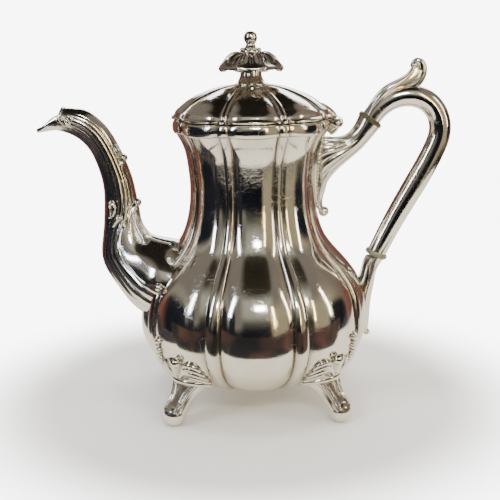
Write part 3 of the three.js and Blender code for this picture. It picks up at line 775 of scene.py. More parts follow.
for station, size in LEAF_TIPS:
    tip = spout_surface(np.full(1, spout_at(station)), np.full(1, np.pi), 0.4)
    spout_work.append(beads(tip, size, 14, 20, squash=(0.9, 1.3, 1.0)))
eye_turn = np.linspace(0, 1, 30)
spiral = 3.3 * (1 - 0.72 * eye_turn)
bead_angle = np.radians([92.0])
bead_t = emerge(spout_surface, bead_angle)[:1] + 0.02
for side in (1, -1):
    # the spiral eye of the head, with its pupil, and a bead where the bulb panel meets the belly
    eye = np.column_stack([EYE_X - spiral * np.cos(9.5 * eye_turn), side * (EYE_Y + 0.9 * eye_turn),
                           EYE_Z + spiral * np.sin(9.5 * eye_turn)])
    spout_work.append(rope(eye, np.linspace(1.0, 0.7, 30), 60, 10))
    spout_work.append(beads([(EYE_X, side * (EYE_Y + 0.2), EYE_Z)], 1.1))
    spout_work.append(beads(spout_surface(bead_t, side * bead_angle, -0.6 * np.ones(1)), 2.6, 10, 16))
casting("spout_casting", spout_work, "spout")

# %% [markdown]
# ## The handle
# Silver carries heat, so the hollow handle is cut from the pot by two bone rings. The grip is a plain
# tapered tube bent to a C. A leaf-shaped thumb rest, hollow on the side facing the lid, curls up from its
# crown and ends in a small ball.

# %% The grip tube
GRIP = [
    (76.2, 185.8, 6.3, 6.3), (82.6, 193.9, 6.4, 6.4), (92, 200.2, 6.7, 6.5), (103.5, 202.1, 7.0, 6.7),
    (114.2, 198.4, 7.0, 6.7), (121.2, 189.8, 7.0, 6.7), (123.0, 179, 7.1, 6.8), (119.4, 167, 7.2, 6.8),
    (109.4, 147.7, 7.3, 6.8), (94.6, 121.6, 6.8, 6.4), (82.9, 98.6, 6.2, 6.2),
]
grip_surface = tube(GRIP)
piece("grip_tube", skin(grip_surface, 220, 56), sheet_silver, "pot", ("handle_grip",), crease=50)

# %% [markdown]
# ## The thumb rest
# A cast leaf soldered on the crown of the grip: a curved web, thicker down its middle, between two rolled
# edges, with the tip curled over to a small ball. The web is a thick sheet between a back and a front line.

# %% The thumb rest's web, curl and edges
BACK = [
    (85, 199.5), (91, 203.6), (97.5, 206.6), (104.5, 209.3), (109.6, 213.8), (111.3, 219.2), (109.2, 223.2),
]
FRONT = [
    (77.5, 195.6), (82.5, 202), (87.5, 206.8), (93.5, 210.2), (99.3, 213.4), (103.2, 217.2), (105.2, 220.6),
]
blade_t = np.linspace(0, 1, 60)[:, None]
blade_u = np.linspace(-1, 1, 41)[None, :]
back_line = curve(BACK)(blade_t[:, 0])[:, None]
front_line = curve(FRONT)(blade_t[:, 0])[:, None]
blend = (np.abs(blade_u) ** 1.8)[..., None]
web = back_line * (1 - blend) + front_line * blend
web_half = 5.6 - 4.2 * smooth(blade_t, 0.25, 1.0)
web_out = np.stack([web[..., 0], web_half * blade_u, web[..., 1]], axis=-1)
lean = unit(front_line - back_line) * 1.1 * (1 - np.abs(blade_u) ** 3)[..., None]
web_in = web_out + np.stack([lean[..., 0], -0.9 * blade_u + 0 * blade_t, lean[..., 1]], axis=-1)
curl = [(97, 206), (104.5, 208.6), (109.2, 213), (110.9, 218.6), (109.6, 223), (106.6, 224.2), (104.6, 222.2),
        (105.4, 220.2)]
thumb = [slab(web_out, web_in, 0.25 * (1 - np.abs(blade_u)) + 0 * blade_t)]
thumb.append(rope([(x, 0, z) for x, z in curl], [2.4, 3.1, 2.9, 2.7, 2.4, 2.0, 1.7, 1.4], 80, 22))
for side in (1, -1):
    edge = [(x, side * half, z) for (x, z), half in zip(FRONT, (5.7, 5.6, 5.2, 4.4, 3.2, 1.9, 1.0))]
    thumb.append(rope(edge, [0.9, 1.4, 1.6, 1.6, 1.5, 1.3, 1.1], 70, 14))
    thumb.append(beads([(104.9, side * 1.6, 221.6)], 2.1, 12, 18))
thumb.append(trail(grip_surface, [(0.012, 62), (0.05, 52), (0.1, 40), (0.16, 24)], [0.7, 1.1, 1.0, 0.6], 0.1))
casting("thumb_leaf", thumb, "thumb_scroll")

# %% [markdown]
# ## The upper socket
# A horn that spreads from the round end of the handle to a long pad on the neck, with flutes that follow
# the flow of the metal, a beaded border and a small ball scroll at the foot of its tail. It was cast, then
# chased, so the flutes are part of its section and the border lies on the body round it.

# %% The upper socket's horn
HORN = [
    (70.6, 191.5, 83.7, 182.0, 7.9), (68.4, 186.6, 80.3, 178, 7.7), (65.4, 181.6, 75.4, 172.2, 7.3),
    (61.3, 178, 69.8, 166.4, 7.4), (56.5, 176.6, 62.6, 160.4, 8.2), (50.5, 176.4, 54.8, 153.4, 9.2),
    (44.5, 176.2, 49.6, 146.6, 9.4), (40, 173, 46.2, 138, 6.5),
]


def horn_flutes(t, angle):
    """How deep the flutes between the side and the upper edge are, growing towards the neck."""
    return smooth(t, 0.2, 0.62), 1 - reeds(from_outer(angle), np.radians(64), np.radians(166), 4)


def horn_form(t, angle):
    grown, flute = horn_flutes(t, angle)
    return 1 - 0.08 * grown * flute


def horn_shade(t, angle):
    grown, flute = horn_flutes(t, angle)
    return grown * flute**1.3


def on_body(azimuth, z, lift=0.0):
    """A point on the lobed body at an azimuth in degrees and a height, standing out by `lift`."""
    angle = np.radians(np.asarray(azimuth, float))
    z = np.asarray(z, float)
    radius = body_radius(z, angle) + lift
    return np.stack([radius * np.cos(angle), radius * np.sin(angle), z + 0 * radius], axis=-1)


horn_surface = loft(HORN, horn_form)
horn = [skin(horn_surface, 110, 120, horn_shade)]
tail = [(45, 0, 153), (45.6, 0, 147), (44.6, 0, 140), (43.9, 0, 133), (45.2, 0, 127.6)]
horn.append(rope(tail, [3.4, 3.6, 3.0, 2.4, 1.9], 60, 24))
horn.append(beads([(47.0, 0, 127.0)], 3.5, 16, 24))
horn.append(rope([(46.5, -4.4, 127), (46.5, 4.4, 127)], [1.4, 1.4], 16, 12, up=(0, 0, 1)))
for start, finish in ((156, 112), (134, 100), (112, 90)):
    track = [(0.93, start), (0.74, start - 2), (0.5, (start + finish) / 2), (0.26, finish)]
    horn.append(trail(horn_surface, track, [1.5, 1.7, 1.1, 0.4], -0.5, hollow=0.1))
border_z = np.linspace(176, 131, 20)
BORDER = [(128, 2.6), (134, 5.0), (142, 7.6), (150, 10.4), (160, 13.0), (170, 13.8), (178, 12.4)]
border_half = np.interp(border_z, *np.array(BORDER).T)
bead_z = np.linspace(174, 133, 17)
bead_half = np.interp(bead_z, border_z[::-1], border_half[::-1]) - 2.3
for side in (1, -1):
    horn.append(rope(on_body(side * border_half, border_z, 0.5), 1.25 + 0 * border_z, 90, 10, hollow=0.15))
    horn.append(beads(on_body(side * bead_half, bead_z, 1.5), 1.35, 7, 11, hollow=0.1))
casting("upper_socket_casting", horn, "handle_upper_socket")

# %% [markdown]
# ## The lower socket
# A slim cast leaf that rises from the belly to the ring, with a raised midrib and a rolled edge on each side.
# The midrib is cut into its section, and the edges are bars laid on it.

# %% The lower socket's leaf
LEAF = [
    (75.2, 95.6, 89.4, 96.6, 6.9), (73.2, 90.6, 85.4, 91, 6.1), (71.8, 84.6, 82.6, 85.2, 5.9),
    (69, 78, 81.6, 79, 6.3), (66, 69, 80, 70, 6.0), (66, 61, 78.9, 61.6, 5.3), (67, 52, 78.4, 52.6, 4.0),
    (68, 43, 77.4, 43, 2.4),
]


def leaf_form(t, angle):
    turn = from_outer(angle)
    return 1 - 0.07 * smooth(t, 0.12, 0.3) * (1 - reeds(turn, np.radians(22), np.radians(84), 2))


leaf_surface = loft(LEAF, leaf_form)
leaf = [skin(leaf_surface, 90, 72)]
leaf.append(trail(leaf_surface, [(0.1, 60), (0.3, 72), (0.6, 72), (0.96, 50)], [0.6, 1.1, 1.1, 0.6], 0.1))
leaf.append(beads([(76.9, 0, 42.5)], 2.2, 10, 16))
casting("lower_socket_casting", leaf, "handle_lower_socket")

# %% [markdown]
# ## The bone rings and their pins
# Two turned discs of bone stop the heat on its way to the grip. Each sits between a socket and the grip,
# square to the handle's curve there, and plain cross pins hold the tenons inside them.


# %% Rings and cross pins
def ring_disc(radius, half):
    """Outline of a turned disc with a rounded edge, as [radius, z]."""
    bend = np.linspace(-np.pi / 2, np.pi / 2, 15)
    edge = np.column_stack([radius - half + half * np.cos(bend), half * np.sin(bend)])
    return np.vstack([[(0.3, -half)], edge, [(0.3, half)]])


# each ring: piece, CAD part, (x, z, slope of its axis in degrees, radius, half thickness), bone, slot
BONE_RINGS = [
    ("upper_bone_ring", "upper_insulator", (77.1, 187.0, 54.0, 8.5, 1.85), olive_bone, "olive_bone"),
    ("lower_bone_ring", "lower_insulator", (82.6, 97.6, 65.0, 7.6, 1.9), grey_bone, "grey_bone"),
]
for label, node, (x, z, slope, radius, half), stuff, slot in BONE_RINGS:
    disc = moved(turned(ring_disc(radius, half), 72), turn_y(90 - slope), (x, 0, z))
    piece(label, disc, stuff, "pot", (node,), slot)

ALONG_Y = [[1, 0, 0], [0, 0, -1], [0, 1, 0]]  # lays a turned piece down along Y


def part_box(node):
    """Middle and size of a CAD part, in millimetres from the pot's axis."""
    low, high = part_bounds(node)
    return (np.add(low, high) / 2 - AXIS) / MM, np.subtract(high, low) / MM


PIN_BEVEL = 0.15
for node in ("upper_socket_pin", "upper_grip_pin", "lower_grip_pin", "lower_socket_pin"):
    middle, size = part_box(node)
    radius, half = size[0] / 2, size[1] / 2
    outline = [(0.05, -half), (radius * 0.8, -half), (radius, PIN_BEVEL - half),
               (radius, half - PIN_BEVEL), (radius * 0.8, half), (0.05, half)]
    piece(node + "_dowel", moved(turned(outline, 24), ALONG_Y, middle), white_metal, "pot", (node,), PIN_SLOT)

# %% [markdown]
# ## The hinge
# Three short knuckles on one pin, dressed as a cluster of scrolls. The outer two belong to the pot and the
# middle one to the lid, and a thin leaf carries each of them to its sheet.

# %% Knuckles, leaves and pin
HINGE_X, HINGE_Z = 55.4, 186.2


def knuckle(low, high, radius):
    """A barrel on the hinge axis with rounded edges and one bead round its middle."""
    mid, half = (low + high) / 2, (high - low) / 2
    bevel = [(radius - 0.8, half), (radius - 0.2, half - 0.25), (radius, half - 0.9)]
    outline = [(0.3, -half), *[(r, -y) for r, y in bevel], (radius, -0.7), (radius + 0.35, 0), (radius, 0.7),
               *bevel[::-1], (0.3, half)]
    return moved(turned(outline, 40), ALONG_Y, (HINGE_X, mid, HINGE_Z))


pot_leaf = [knuckle(-8.5, -3.3, 3.4), knuckle(3.3, 8.5, 3.4)]
lid_leaf = [knuckle(-2.95, 2.95, 3.5)]
lid_track = [(54.6, 0, 187.8), (52.6, 0, 190.2), (49.4, 0, 194.2), (45.0, 0, 198.2)]
lid_leaf.append(rope(lid_track, [2.7, 2.8, 2.3, 1.0], 40, 18, flat=1.5))
for side in (1, -1):
    stay = [(55.0, side * 5.9, 184.4), (53.2, side * 6.4, 181.6), (50.2, side * 7.2, 178.6)]
    pot_leaf.append(rope(stay, [2.0, 1.9, 1.2], 30, 14))
    pot_leaf.append(beads([(HINGE_X, side * 8.6, HINGE_Z)], 1.7, 10, 16))
    wisp = [(50.6, side * 2.4, 191.6), (49.0, side * 5.0, 193.0), (46.8, side * 6.8, 196.2),
            (45.2, side * 5.4, 197.8)]
    lid_leaf.append(rope(wisp, [1.3, 1.3, 1.1, 0.7], 34, 12))
casting("hinge_pot_scrolls", pot_leaf, "hinge_body_leaf", crease=42)
casting("hinge_lid_scroll", lid_leaf, "hinge_lid_leaf", "lid", crease=42)
PIN_RADIUS = 1.1
pin_half = part_box("hinge_pin")[1][1] / 2
rod_line = [(0.1, -pin_half), (PIN_RADIUS, -pin_half), (PIN_RADIUS, pin_half), (0.1, pin_half)]
rod = moved(turned(rod_line, 24), ALONG_Y, (HINGE_X, 0, HINGE_Z))
piece("hinge_pin_rod", rod, white_metal, "pot", ("hinge_pin",), PIN_SLOT)

# %% [markdown]
# ## The finial
# A fluted stem carries an eight-petal skirt, and above it a beaded cone, a neck and a ball knop. At its foot
# a small beaded leaf hangs from a collar, at the front and at the back. The whole is bolted through the dome
# with a washer and a nut. Each part is a turned outline, rippled or lobed where the real one was chased.


# %% The collar and its two leaves
def on_lid(azimuth, radius, lift=0.0):
    """A point over the lid's dome."""
    angle = np.radians(np.asarray(azimuth, float))
    z = np.interp(radius, *lid_line[np.argsort(lid_line[:, 0])].T)
    return np.stack([radius * np.cos(angle), radius * np.sin(angle), z + lift + 0 * radius * angle], axis=-1)


collar_ring = [(3, 210.9), (9.8, 210.5), (10.9, 210.4), (10.9, 211.0), (9.9, 211.6), (8.8, 212.2),
               (8.2, 212.9), (3, 213.0)]
collar_parts = [turned(curve(collar_ring)(np.linspace(0, 1, 40)), 96)]
leaf_reach = np.linspace(9.0, 20.0, 34)[:, None]
leaf_side = np.linspace(-1, 1, 21)[None, :]
leaf_half = 3.1 * np.sqrt(np.clip((20.6 - leaf_reach) / 9.4, 0, 1))
leaf_turn = np.degrees(leaf_half * leaf_side / leaf_reach)
leaf_lift = 0.3 + 1.0 * (1 - leaf_side**2) * np.ones_like(leaf_reach)
EYE_TRACK = [(20, 10.2, 0.8), (29, 11.6, 0.8), (26, 13.6, 0.5), (17, 13.4, 0.5), (17, 11.9, 0.9)]
for turn in (90, 270):
    top = on_lid(turn + leaf_turn, leaf_reach, leaf_lift)
    collar_parts.append(slab(top, on_lid(turn + leaf_turn, leaf_reach, -0.6), leaf_side**2))
    for side in (1, -1):
        eye = [on_lid(turn + side * away, reach, lift) for away, reach, lift in EYE_TRACK]
        collar_parts.append(rope(eye, [0.9, 1.1, 1.1, 1.0, 0.8], 40, 12, hollow=0.1))
    ridge = np.array([on_lid(turn, reach, 1.2) for reach in (11.6, 14.0, 16.2, 18.2)])
    collar_parts.append(beads(ridge, [1.3, 1.2, 1.0, 0.8], 10, 14, hollow=0.1))
casting("finial_collar_scrolls", collar_parts, "finial_collar", "lid", crease=42)

# %% The stem
BOLT_HOLE = 2.2
STEM = [(8.3, 213.1), (7.5, 214.3), (6.8, 216.2), (6.5, 218.4), (6.5, 220.2), (6.8, 221.6)]
stem_line = np.vstack([[(BOLT_HOLE, 213.1)], curve(STEM)(np.linspace(0, 1, 30)), [(BOLT_HOLE, 221.6)]])
stem = turned(stem_line, 120, ripple=lambda angle, row: 0.95 + 0.10 * np.abs(np.cos(4 * angle)))
casting("finial_stem_fluted", [stem], "finial_stem", "lid", crease=42)


# %% The petal skirt
def bead_ring(radius, z, first, count, size, rows, cols, hollow=0.1):
    """Beads evenly round the axis, the first at an angle in radians."""
    turns = first + np.arange(count) * 2 * np.pi / count
    spots = np.column_stack([radius * np.cos(turns), radius * np.sin(turns), np.full(count, z)])
    return beads(spots, size, rows, cols, hollow=hollow)


PETALS = [
    (5.0, 230.6), (7.6, 230.2), (11.2, 229.0), (14.8, 226.6), (17.6, 223.8), (19.0, 221.6), (18.9, 220.6),
]
petal_line = curve(PETALS)(np.linspace(0, 1, 56))
petal_reach = petal_line[:, 0]
petal_depth = 2.6 * smooth(petal_reach, 4, 12) * (1 - 0.5 * smooth(petal_reach, 15, 20)) + 0.15
petal_form = {"rib_half": np.minimum(0.7 / petal_reach, 0.2), "rise": 0.3, "power": 2.6}
petal_top, petal_shade = lobed(petal_line, petal_depth, **petal_form)
# three flutes run down each petal
flute = np.abs(np.sin(1.5 * np.pi * np.abs(SHARE) + np.pi / 2)) * (np.abs(SHARE) < 1) + (np.abs(SHARE) >= 1)
petal_fade = smooth(petal_reach, 6, 12) * (1 - smooth(petal_reach, 17.0, 19.0))
petal_top[..., 2] -= 1.2 * petal_fade[:, None] * (1 - flute)
petal_shade = np.maximum(petal_shade, 0.7 * (1 - flute) ** 2)
under = offset_line(petal_line, -1.7)
under[:, 1] = np.minimum(under[:, 1], petal_line[:, 1] - 1.5 + 1.2 * smooth(petal_line[:, 0], 15.0, 19.0))
under[-1] = (18.0, 220.7)
petal_low, _ = lobed(under, petal_depth * 0.9, **petal_form)
petal_skin = np.concatenate([petal_top, petal_low[::-1]])
# painted shade: the petals' underside is darkened throughout by a fixed hollow of 0.5
petal_hollow = np.concatenate([0.9 * petal_shade, 0.5 + 0 * petal_shade])
core = [(BOLT_HOLE, 221.7), (5.6, 221.8), (5.2, 224), (5.0, 228), (5.4, 231.2), (BOLT_HOLE, 231.2)]
skirt = [sheet(petal_skin, petal_hollow, wrap_rows=True), turned(core, 48)]
# a bead at each petal's tip, between two smaller ones
skirt.append(bead_ring(18.6, 221.5, 0.0, LOBES, 1.25, 10, 14))
for spread in (-0.14, 0.14):
    skirt.append(bead_ring(18.2, 222.0, spread, LOBES, 0.9, 6, 9, hollow=0.0))
casting("finial_skirt_petals", skirt, "finial_skirt", "lid", crease=38)

# %% The knop
KNOP = [
    (6.9, 231.4), (6.7, 232.3), (5.4, 233.2), (4.0, 234.2), (3.0, 235.6), (2.8, 236.5), (3.5, 237.6),
    (4.2, 239.2), (4.25, 240.6), (3.7, 242.6), (2.4, 244.0), (0.6, 244.5),
]
knop_line = np.vstack([[(BOLT_HOLE, 231.4)], curve(KNOP)(np.linspace(0, 1, 60))])
knop = [turned(knop_line, 72), bead_ring(5.6, 232.9, 0.0, 10, 1.25, 8, 12)]
casting("finial_knop_ball", knop, "finial_knop", "lid", crease=42)

# %% [markdown]
# ## The bolt that holds the finial
# A stud runs down from the knop through skirt, stem, collar and dome. A washer and a six-sided nut pull the
# stack tight from inside the lid. They stay out of sight, so they are plain turned pieces without a thread.

# %% The stud, washer and nut
EDGE = 0.2  # the bevel on each edge
for node, sides, bore in (("finial_stud", 24, 0.05), ("finial_washer", 48, 2.15), ("finial_nut", 6, 2.15)):
    middle, size = part_box(node)
    radius = size[1] / 2
    low, high = middle[2] - size[2] / 2, middle[2] + size[2] / 2
    outline = [(bore, low), (radius - EDGE, low), (radius, low + EDGE),
               (radius, high - EDGE), (radius - EDGE, high), (bore, high)]
    metal = turned(outline, sides, ring=node != "finial_stud")
    piece(node + "_metal", metal, white_metal, "lid", (node,), PIN_SLOT, crease=25)

# %% [markdown]
# ## The feet
# Four cast scroll feet stand on the diagonals. Each one is a rolled toe, a hollowed shin with ropes down its
# edges, a beaded ledge, and above it a fan shell with a ball at its head and a leaf wing on either side. The
# outer wing climbs higher than the inner one, so the feet to the left and the right are mirror twins.

# %% One foot, drawn on the +X axis
SHIN = [
    (75.0, 7.0, 6.6, 7.0), (71.2, 12.4, 6.2, 7.5), (67.0, 18.0, 5.4, 8.6), (63.2, 23.0, 6.0, 12.0),
    (60.0, 27.4, 6.6, 16.5),
]
DIAGONAL = 45
FAN_X = 68  # distance from the axis at which the fan shell's width is measured
FAN_FLUTES = 4.5


def shin_form(t, angle):
    """A hollow down the front, and reeds along both flanks."""
    turn = from_outer(angle)
    front = np.pi - turn
    dish = 0.34 * np.exp(-((front / 0.62) ** 2)) * smooth(t, 0.0, 0.35)
    return 1 - dish - 0.06 * (1 - reeds(turn, np.radians(70), np.radians(128), 3))


def shin_shade(t, angle):
    return 0.5 * np.exp(-((np.abs(angle - np.pi) / 0.5) ** 2)) + 0 * t


shin_surface = tube(SHIN, shin_form)


def over_belly(azimuth, z, lift):
    """A point on the body's surface, with the foot's diagonal as azimuth 0."""
    return on_body(np.asarray(azimuth) + DIAGONAL, z, lift) @ turn_z(-DIAGONAL).T


def ledge_line(place, forward, z):
    """The ledge's bow: towards its ends, at -1 and 1, it draws back and droops."""
    return np.column_stack([forward - 11.5 * place**2, 17.2 * place, z - 2.0 * np.abs(place) ** 2.2])


def fan_shell():
    """Rays from the ledge's middle, scalloped at the rim and sunk between the rays."""
    ray = np.radians(np.linspace(4, 176, 109))[None, :]
    out = np.linspace(0, 1, 30)[:, None]
    fluted = np.abs(np.cos(FAN_FLUTES * (ray - np.pi / 2)))
    reach = (14.6 + 3.0 * np.sin(ray)) * (1 - 0.05 * (1 - fluted))
    azimuth = np.degrees(out * reach * np.cos(ray) / FAN_X)
    height = 27.4 + out * reach * np.sin(ray)
    swell = 4.2 * (1 - out**2.4) + 1.0
    sunk = smooth(out, 0.1, 0.7) * 0.65 * (1 - fluted)
    outer = over_belly(azimuth, height, swell * (1 - sunk * 0.85) - 0.6 * out**8)
    return slab(outer, over_belly(azimuth, height, -0.8 + 0 * azimuth), sunk)


# azimuth and height of each curl on the outer wing's inner edge
CURLS = [(8.6, 54.4), (10.2, 51.0), (9.6, 47.6), (11.2, 44.4), (11.6, 40.6), (11.8, 36.6)]
# the inner wing's licks: height where each starts, height where it ends, azimuth of its end
LICKS = [(42.5, 38.0, -15.2), (39.5, 34.6, -16.4), (36.0, 31.2, -17.0), (32.6, 28.4, -17.2)]


def whole_foot():
    parts = [skin(shin_surface, 70, 88, shin_shade)]
    parts.append(beads([(75.0, 0, 7.1)], 7.1, 26, 40, squash=(1, 1.04, 0.99)))
    for edge in (128, 146):
        track = [(0.0, edge - 6), (0.3, edge), (0.7, edge), (1.0, edge - 4)]
        parts.append(trail(shin_surface, track, [0.9, 1.0, 1.1, 1.2], 0.1, hollow=0.1))
    # the ledge: a drooping bar under the shell, with a row of beads on it
    sweep = np.linspace(-1, 1, 15)
    parts.append(rope(ledge_line(sweep, 68.6, 28.2), 2.3 - 0.9 * sweep**2, 80, 16, up=(0, 0, 1)))
    parts.append(beads(ledge_line(0.85 * sweep, 69.4, 30.2), 1.05, 7, 10, hollow=0.1))
    parts.append(fan_shell())
    parts.append(beads([over_belly(-3.5, 43.4, 2.8)], 3.4, 16, 24))
    # the outer wing: a leaf that climbs beside the shell, its inner edge broken into curls
    turns = np.array([13.6, 15.4, 16.2, 15.4, 13.2, 10.6])
    heights = np.array([27.5, 33.0, 39.5, 46.0, 52.0, 57.0])
    parts.append(rope(over_belly(turns, heights, 0.4), [2.6, 3.0, 2.9, 2.5, 1.8, 0.9], 70, 18, up=(0, 0, 1)))
    for turn, z in CURLS:
        curl = over_belly(turn + np.array([4, 1.6, 0, 0.9]), z + np.array([-2.6, -1.6, 0, 1.4]), 1.0)
        parts.append(rope(curl, [1.7, 1.6, 1.5, 0.8], 26, 12, hollow=0.08))
    # the inner wing: licks that droop away from the ball
    for start, finish, far in LICKS:
        turns = np.array([-5.5, -9.5, -13.0, far])
        heights = np.array([start - 2.2, start, (start + finish) / 2 + 1.0, finish])
        parts.append(rope(over_belly(turns, heights, 0.9), [1.3, 1.9, 1.7, 0.8], 36, 12, hollow=0.08))
    return joined(*parts)


foot = whole_foot()
for node, azimuth, mirror in (("foot_front_left", 225, -1), ("foot_front_right", 315, 1),
                              ("foot_back_right", 45, -1), ("foot_back_left", 135, 1)):
    casting(node + "_scroll", [moved(foot, turn_z(azimuth) @ np.diag([1.0, mirror, 1.0]))], node)

# %% [markdown]
# ## The table
# The pot stands on a round pale table top. Towards its edge it fades to the white of the studio, so no line
# shows behind the pot, and to the metal it gives back a slightly warmer tone than to the eye.

# %% The table top
WHITE = 8.0  # how bright the empty studio looks to the camera
TABLE_RADIUS = 0.40
FADE_FROM, FADE_TO = 0.13, 0.24  # metres from the pot's axis


def staged(name, corners, faces, material):
    """A flat surface that belongs to the stage only, from points in metres."""
    mesh = bpy.data.meshes.new(name)
    mesh.from_pydata(corners.tolist(), [], faces)
    mesh.materials.append(material)
    made = bpy.data.objects.new(name, mesh)
    bpy.context.scene.collection.objects.link(made)
    return made


table_stuff, tree, output = blank("pale_studio_floor")
seen = add_node(tree, "ShaderNodeLightPath").outputs["Is Camera Ray"]
top_tone = mixed_tone(tree, seen, colour("#f3ecdb"), colour("#f3f0e9"))
top = principled(tree, {"Base Color": top_tone, "Roughness": 0.8})
where = add_node(tree, "ShaderNodeTexCoord").outputs["Object"]
far = add_node(tree, "ShaderNodeVectorMath", {0: where}, operation="LENGTH").outputs["Value"]
limits = {"Value": far, "From Min": FADE_FROM, "From Max": FADE_TO}
fade = add_node(tree, "ShaderNodeMapRange", limits, interpolation_type="SMOOTHSTEP").outputs[0]
fade = maths(tree, "MULTIPLY", fade, seen)
white = add_node(tree, "ShaderNodeEmission", {"Color": colour("#ffffff"), "Strength": WHITE}).outputs[0]
mixed = add_node(tree, "ShaderNodeMixShader", {0: fade, 1: top, 2: white})
tree.links.new(mixed.outputs[0], output.inputs["Surface"])
around = np.linspace(0, 2 * np.pi, 96, endpoint=False)
rim = np.column_stack([AXIS[0] + TABLE_RADIUS * np.cos(around), TABLE_RADIUS * np.sin(around), 0 * around])
staged("studio_floor", rim, [list(range(len(rim)))], table_stuff)

# %% [markdown]
# ## Two dark cards
# Bright metal has no dark of its own, so it needs dark things near it to get edges to read against. One card
# stands low and close in front, for the band across the lower belly, and one lies under the spout.

# %% The cards
CARD_DISTANCE, CARD_WIDTH, CARD_HEIGHT, CARD_LEAN, CARD_BOW = 0.150, 0.34, 0.060, 0.034, 0.07
SPOUT_CARD = (-0.42, -0.20, 0.26, 0.003)  # far side, near side, half width and height above the table
bow = np.linspace(-1, 1, 25)
base = np.column_stack([AXIS[0] + CARD_WIDTH * bow / 2, CARD_BOW * bow**2 - CARD_DISTANCE, 0.002 + 0 * bow])
front_card = np.vstack([base, base + (0, CARD_LEAN, CARD_HEIGHT)])
far_side, near_side, half_width, above = SPOUT_CARD
reach = np.linspace(far_side, near_side, len(bow))
left_card = np.vstack([np.column_stack([reach, side + 0 * reach, above + 0 * reach])
                       for side in (-half_width, half_width)])
card_stuff, tree, output = blank("dark_navy_card")
weave = noise(tree, add_node(tree, "ShaderNodeTexCoord").outputs["Object"], 13.0)["Fac"]
card_tone = ramp(tree, weave, [(0.47, colour("#0f1320")), (0.70, colour("#5c3d38"))])
matt = principled(tree, {"Base Color": card_tone, "Roughness": 0.9})
tree.links.new(matt, output.inputs["Surface"])
faces = [(k, k + 1, k + 1 + len(bow), k + len(bow)) for k in range(len(bow) - 1)]
for name, corners in (("dark_card_front", front_card), ("dark_card_left", left_card)):
    card = staged(name, corners, faces, card_stuff)
    card.visible_camera = False
    card.visible_diffuse = False
    card.visible_shadow = False

# %% [markdown]
# ## The room
# A mirror shows the room, so the room is what makes silver look like silver. To the eye it is white. What the
# metal sees is a dark floor, pale walls to either side over the table's height, dark gaps in them, a dark
# ceiling behind and wood tones low behind, with soft borders. That gives the strong steps from dark to light.

# %% The room that the silver mirrors
world = bpy.data.worlds.new("studio_room")
world.use_nodes = True
tree = world.node_tree
tree.nodes.clear()
toward = add_node(tree, "ShaderNodeTexCoord").outputs["Generated"]
parts = add_node(tree, "ShaderNodeSeparateXYZ", {0: toward})
across, back, up = (parts.outputs[axis] for axis in "XYZ")
sideways = maths(tree, "ABSOLUTE", across)
HEIGHTS = [(0.0, "#1b1a1c"), (0.40, "#0d101a"), (0.50, "#14161f"), (0.57, "#5c5a50"), (0.67, "#b2b2a4"),
           (0.86, "#bcbcae"), (0.92, "#3c362c"), (1.0, "#1a1712")]
room = ramp(tree, mapped(tree, up, -1.0, 1.0), [(place, colour(code)) for place, code in HEIGHTS])
wall = mixed_tone(tree, mapped(tree, across, -0.2, 0.2), colour("#b3b0a2"), colour("#b5a88c"))
wall = mixed_tone(tree, mapped(tree, up, 0.45, 0.7), wall, colour("#857d74"))
wall = mixed_tone(tree, mapped(tree, back, 0.0, 0.3), wall, colour("#8a7c72"))
over_table = (up, -0.04, 0.10)
# each patch is painted over the ones before it, where both directions have passed from their first limit to
# their second one
PATCHES = [
    ((back, 0.0, 0.25), (up, 0.3, 0.6), colour("#1f1912")),
    ((sideways, 0.36, 0.56), over_table, wall),
    ((across, 0.36, 0.50), (up, -0.45, -0.30), wall),
    ((across, -0.26, -0.46), over_table, colour("#857d74")),
    ((across, -0.58, -0.64), (up, 0.5, 0.3), colour("#23252c")),
    ((across, -0.79, -0.83), over_table, colour("#9c988c")),
    ((across, -0.86, -0.90), (up, 0.5, 0.3), colour("#1d1f28")),
    ((sideways, 0.91, 0.96), (up, 0.5, 0.2), colour("#1d1f28")),
    ((back, 0.2, 0.6), (up, 0.45, 0.15), colour("#86564c")),
]
for first, second, paint in PATCHES:
    cover = maths(tree, "MULTIPLY", mapped(tree, *first), mapped(tree, *second))
    room = mixed_tone(tree, cover, room, paint)
ray = add_node(tree, "ShaderNodeLightPath").outputs
pale, white, seen = (
    add_node(tree, "ShaderNodeBackground", {"Color": tone, "Strength": strength}).outputs[0]
    for tone, strength in ((colour("#ffffff"), 1.0), (colour("#ffffff"), WHITE), (room, 1.0)))
mirror = add_node(tree, "ShaderNodeMixShader", {0: ray["Is Glossy Ray"], 1: pale, 2: seen}).outputs[0]
whole = add_node(tree, "ShaderNodeMixShader", {0: ray["Is Camera Ray"], 1: mirror, 2: white}).outputs[0]
tree.links.new(whole, add_node(tree, "ShaderNodeOutputWorld").inputs["Surface"])
bpy.context.scene.world = world

# %% [markdown]
# ## The lights
# Two windows from the front, a narrow warm lamp and a tall strip to the right draw the streaks on the lobes.
# A broad window lights the far side, and a lamp overhead, which the metal doesn't mirror, lifts the top.


# %% Soft lights
MIDDLE_POINT = (AXIS[0], 0, 0.11)


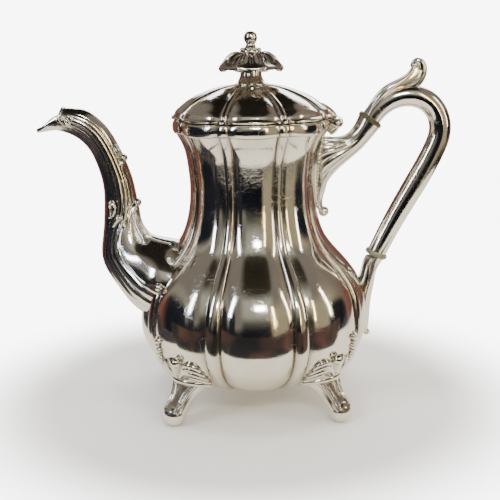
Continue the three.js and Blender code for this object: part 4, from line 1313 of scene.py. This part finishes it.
def soft_light(name, at, size, watts, tint, mirrored=True):
    """A rectangular lamp at a point, in metres, facing the middle of the pot."""
    lamp = bpy.data.lights.new(name, "AREA")
    lamp.shape = "RECTANGLE"
    lamp.size, lamp.size_y = size
    lamp.energy = watts
    lamp.color = colour(tint)[:3]
    holder = bpy.data.objects.new(name, lamp)
    facing = unit(np.subtract(at, MIDDLE_POINT))
    right = unit(np.cross((0, 0, 1), facing))
    over = np.cross(facing, right)
    holder.visible_glossy = mirrored
    axes = np.column_stack([right, over, facing, at])
    holder.matrix_world = Matrix(np.vstack([axes, (0, 0, 0, 1)]).tolist())
    bpy.context.scene.collection.objects.link(holder)


soft_light("window_left", (-1.0, -0.75, 0.75), (0.20, 0.8), 8, "#e4eeff")
soft_light("window_front", (0.16, -1.3, 0.95), (0.30, 0.20), 8, "#ffffff")
soft_light("lamp_warm", (0.62, -1.1, 0.5), (0.05, 0.75), 3, "#ffdf9f")
soft_light("strip_right", (1.15, -0.35, 0.55), (0.10, 0.9), 4, "#fff0d8")
soft_light("window_back", (0.2, 1.2, 0.9), (1.2, 0.6), 12, "#f4f4f4")
soft_light("overhead", (0.0, -0.1, 1.6), (0.5, 0.35), 7, "#ffffff", mirrored=False)

# %% [markdown]
# ## The camera
# Nearly level with the finial, straight in front of the side, tipped down a little, and rolled by less than
# a degree.

# %% Its place and lens
LENS, SENSOR = 68.4, 36.0
AWAY, EYE, ASIDE = 620.0, 244.6, -2.2  # millimetres from the pot's axis
SWING, TIP, ROLL = -1.2, 77.0, -0.81  # degrees
camera_data = bpy.data.cameras.new("camera")
camera_data.lens = LENS
camera_data.sensor_width = SENSOR
camera = bpy.data.objects.new("camera", camera_data)
swing = Matrix.Rotation(math.radians(SWING), 4, "Z")
stand = Matrix.Translation((ASIDE * MM, -AWAY * MM, EYE * MM))
look = Matrix.Rotation(math.radians(TIP), 4, "X") @ Matrix.Rotation(math.radians(ROLL), 4, "Z")
camera.matrix_world = Matrix.Translation(AXIS.tolist()) @ swing @ stand @ look
bpy.context.scene.collection.objects.link(camera)
bpy.context.scene.camera = camera
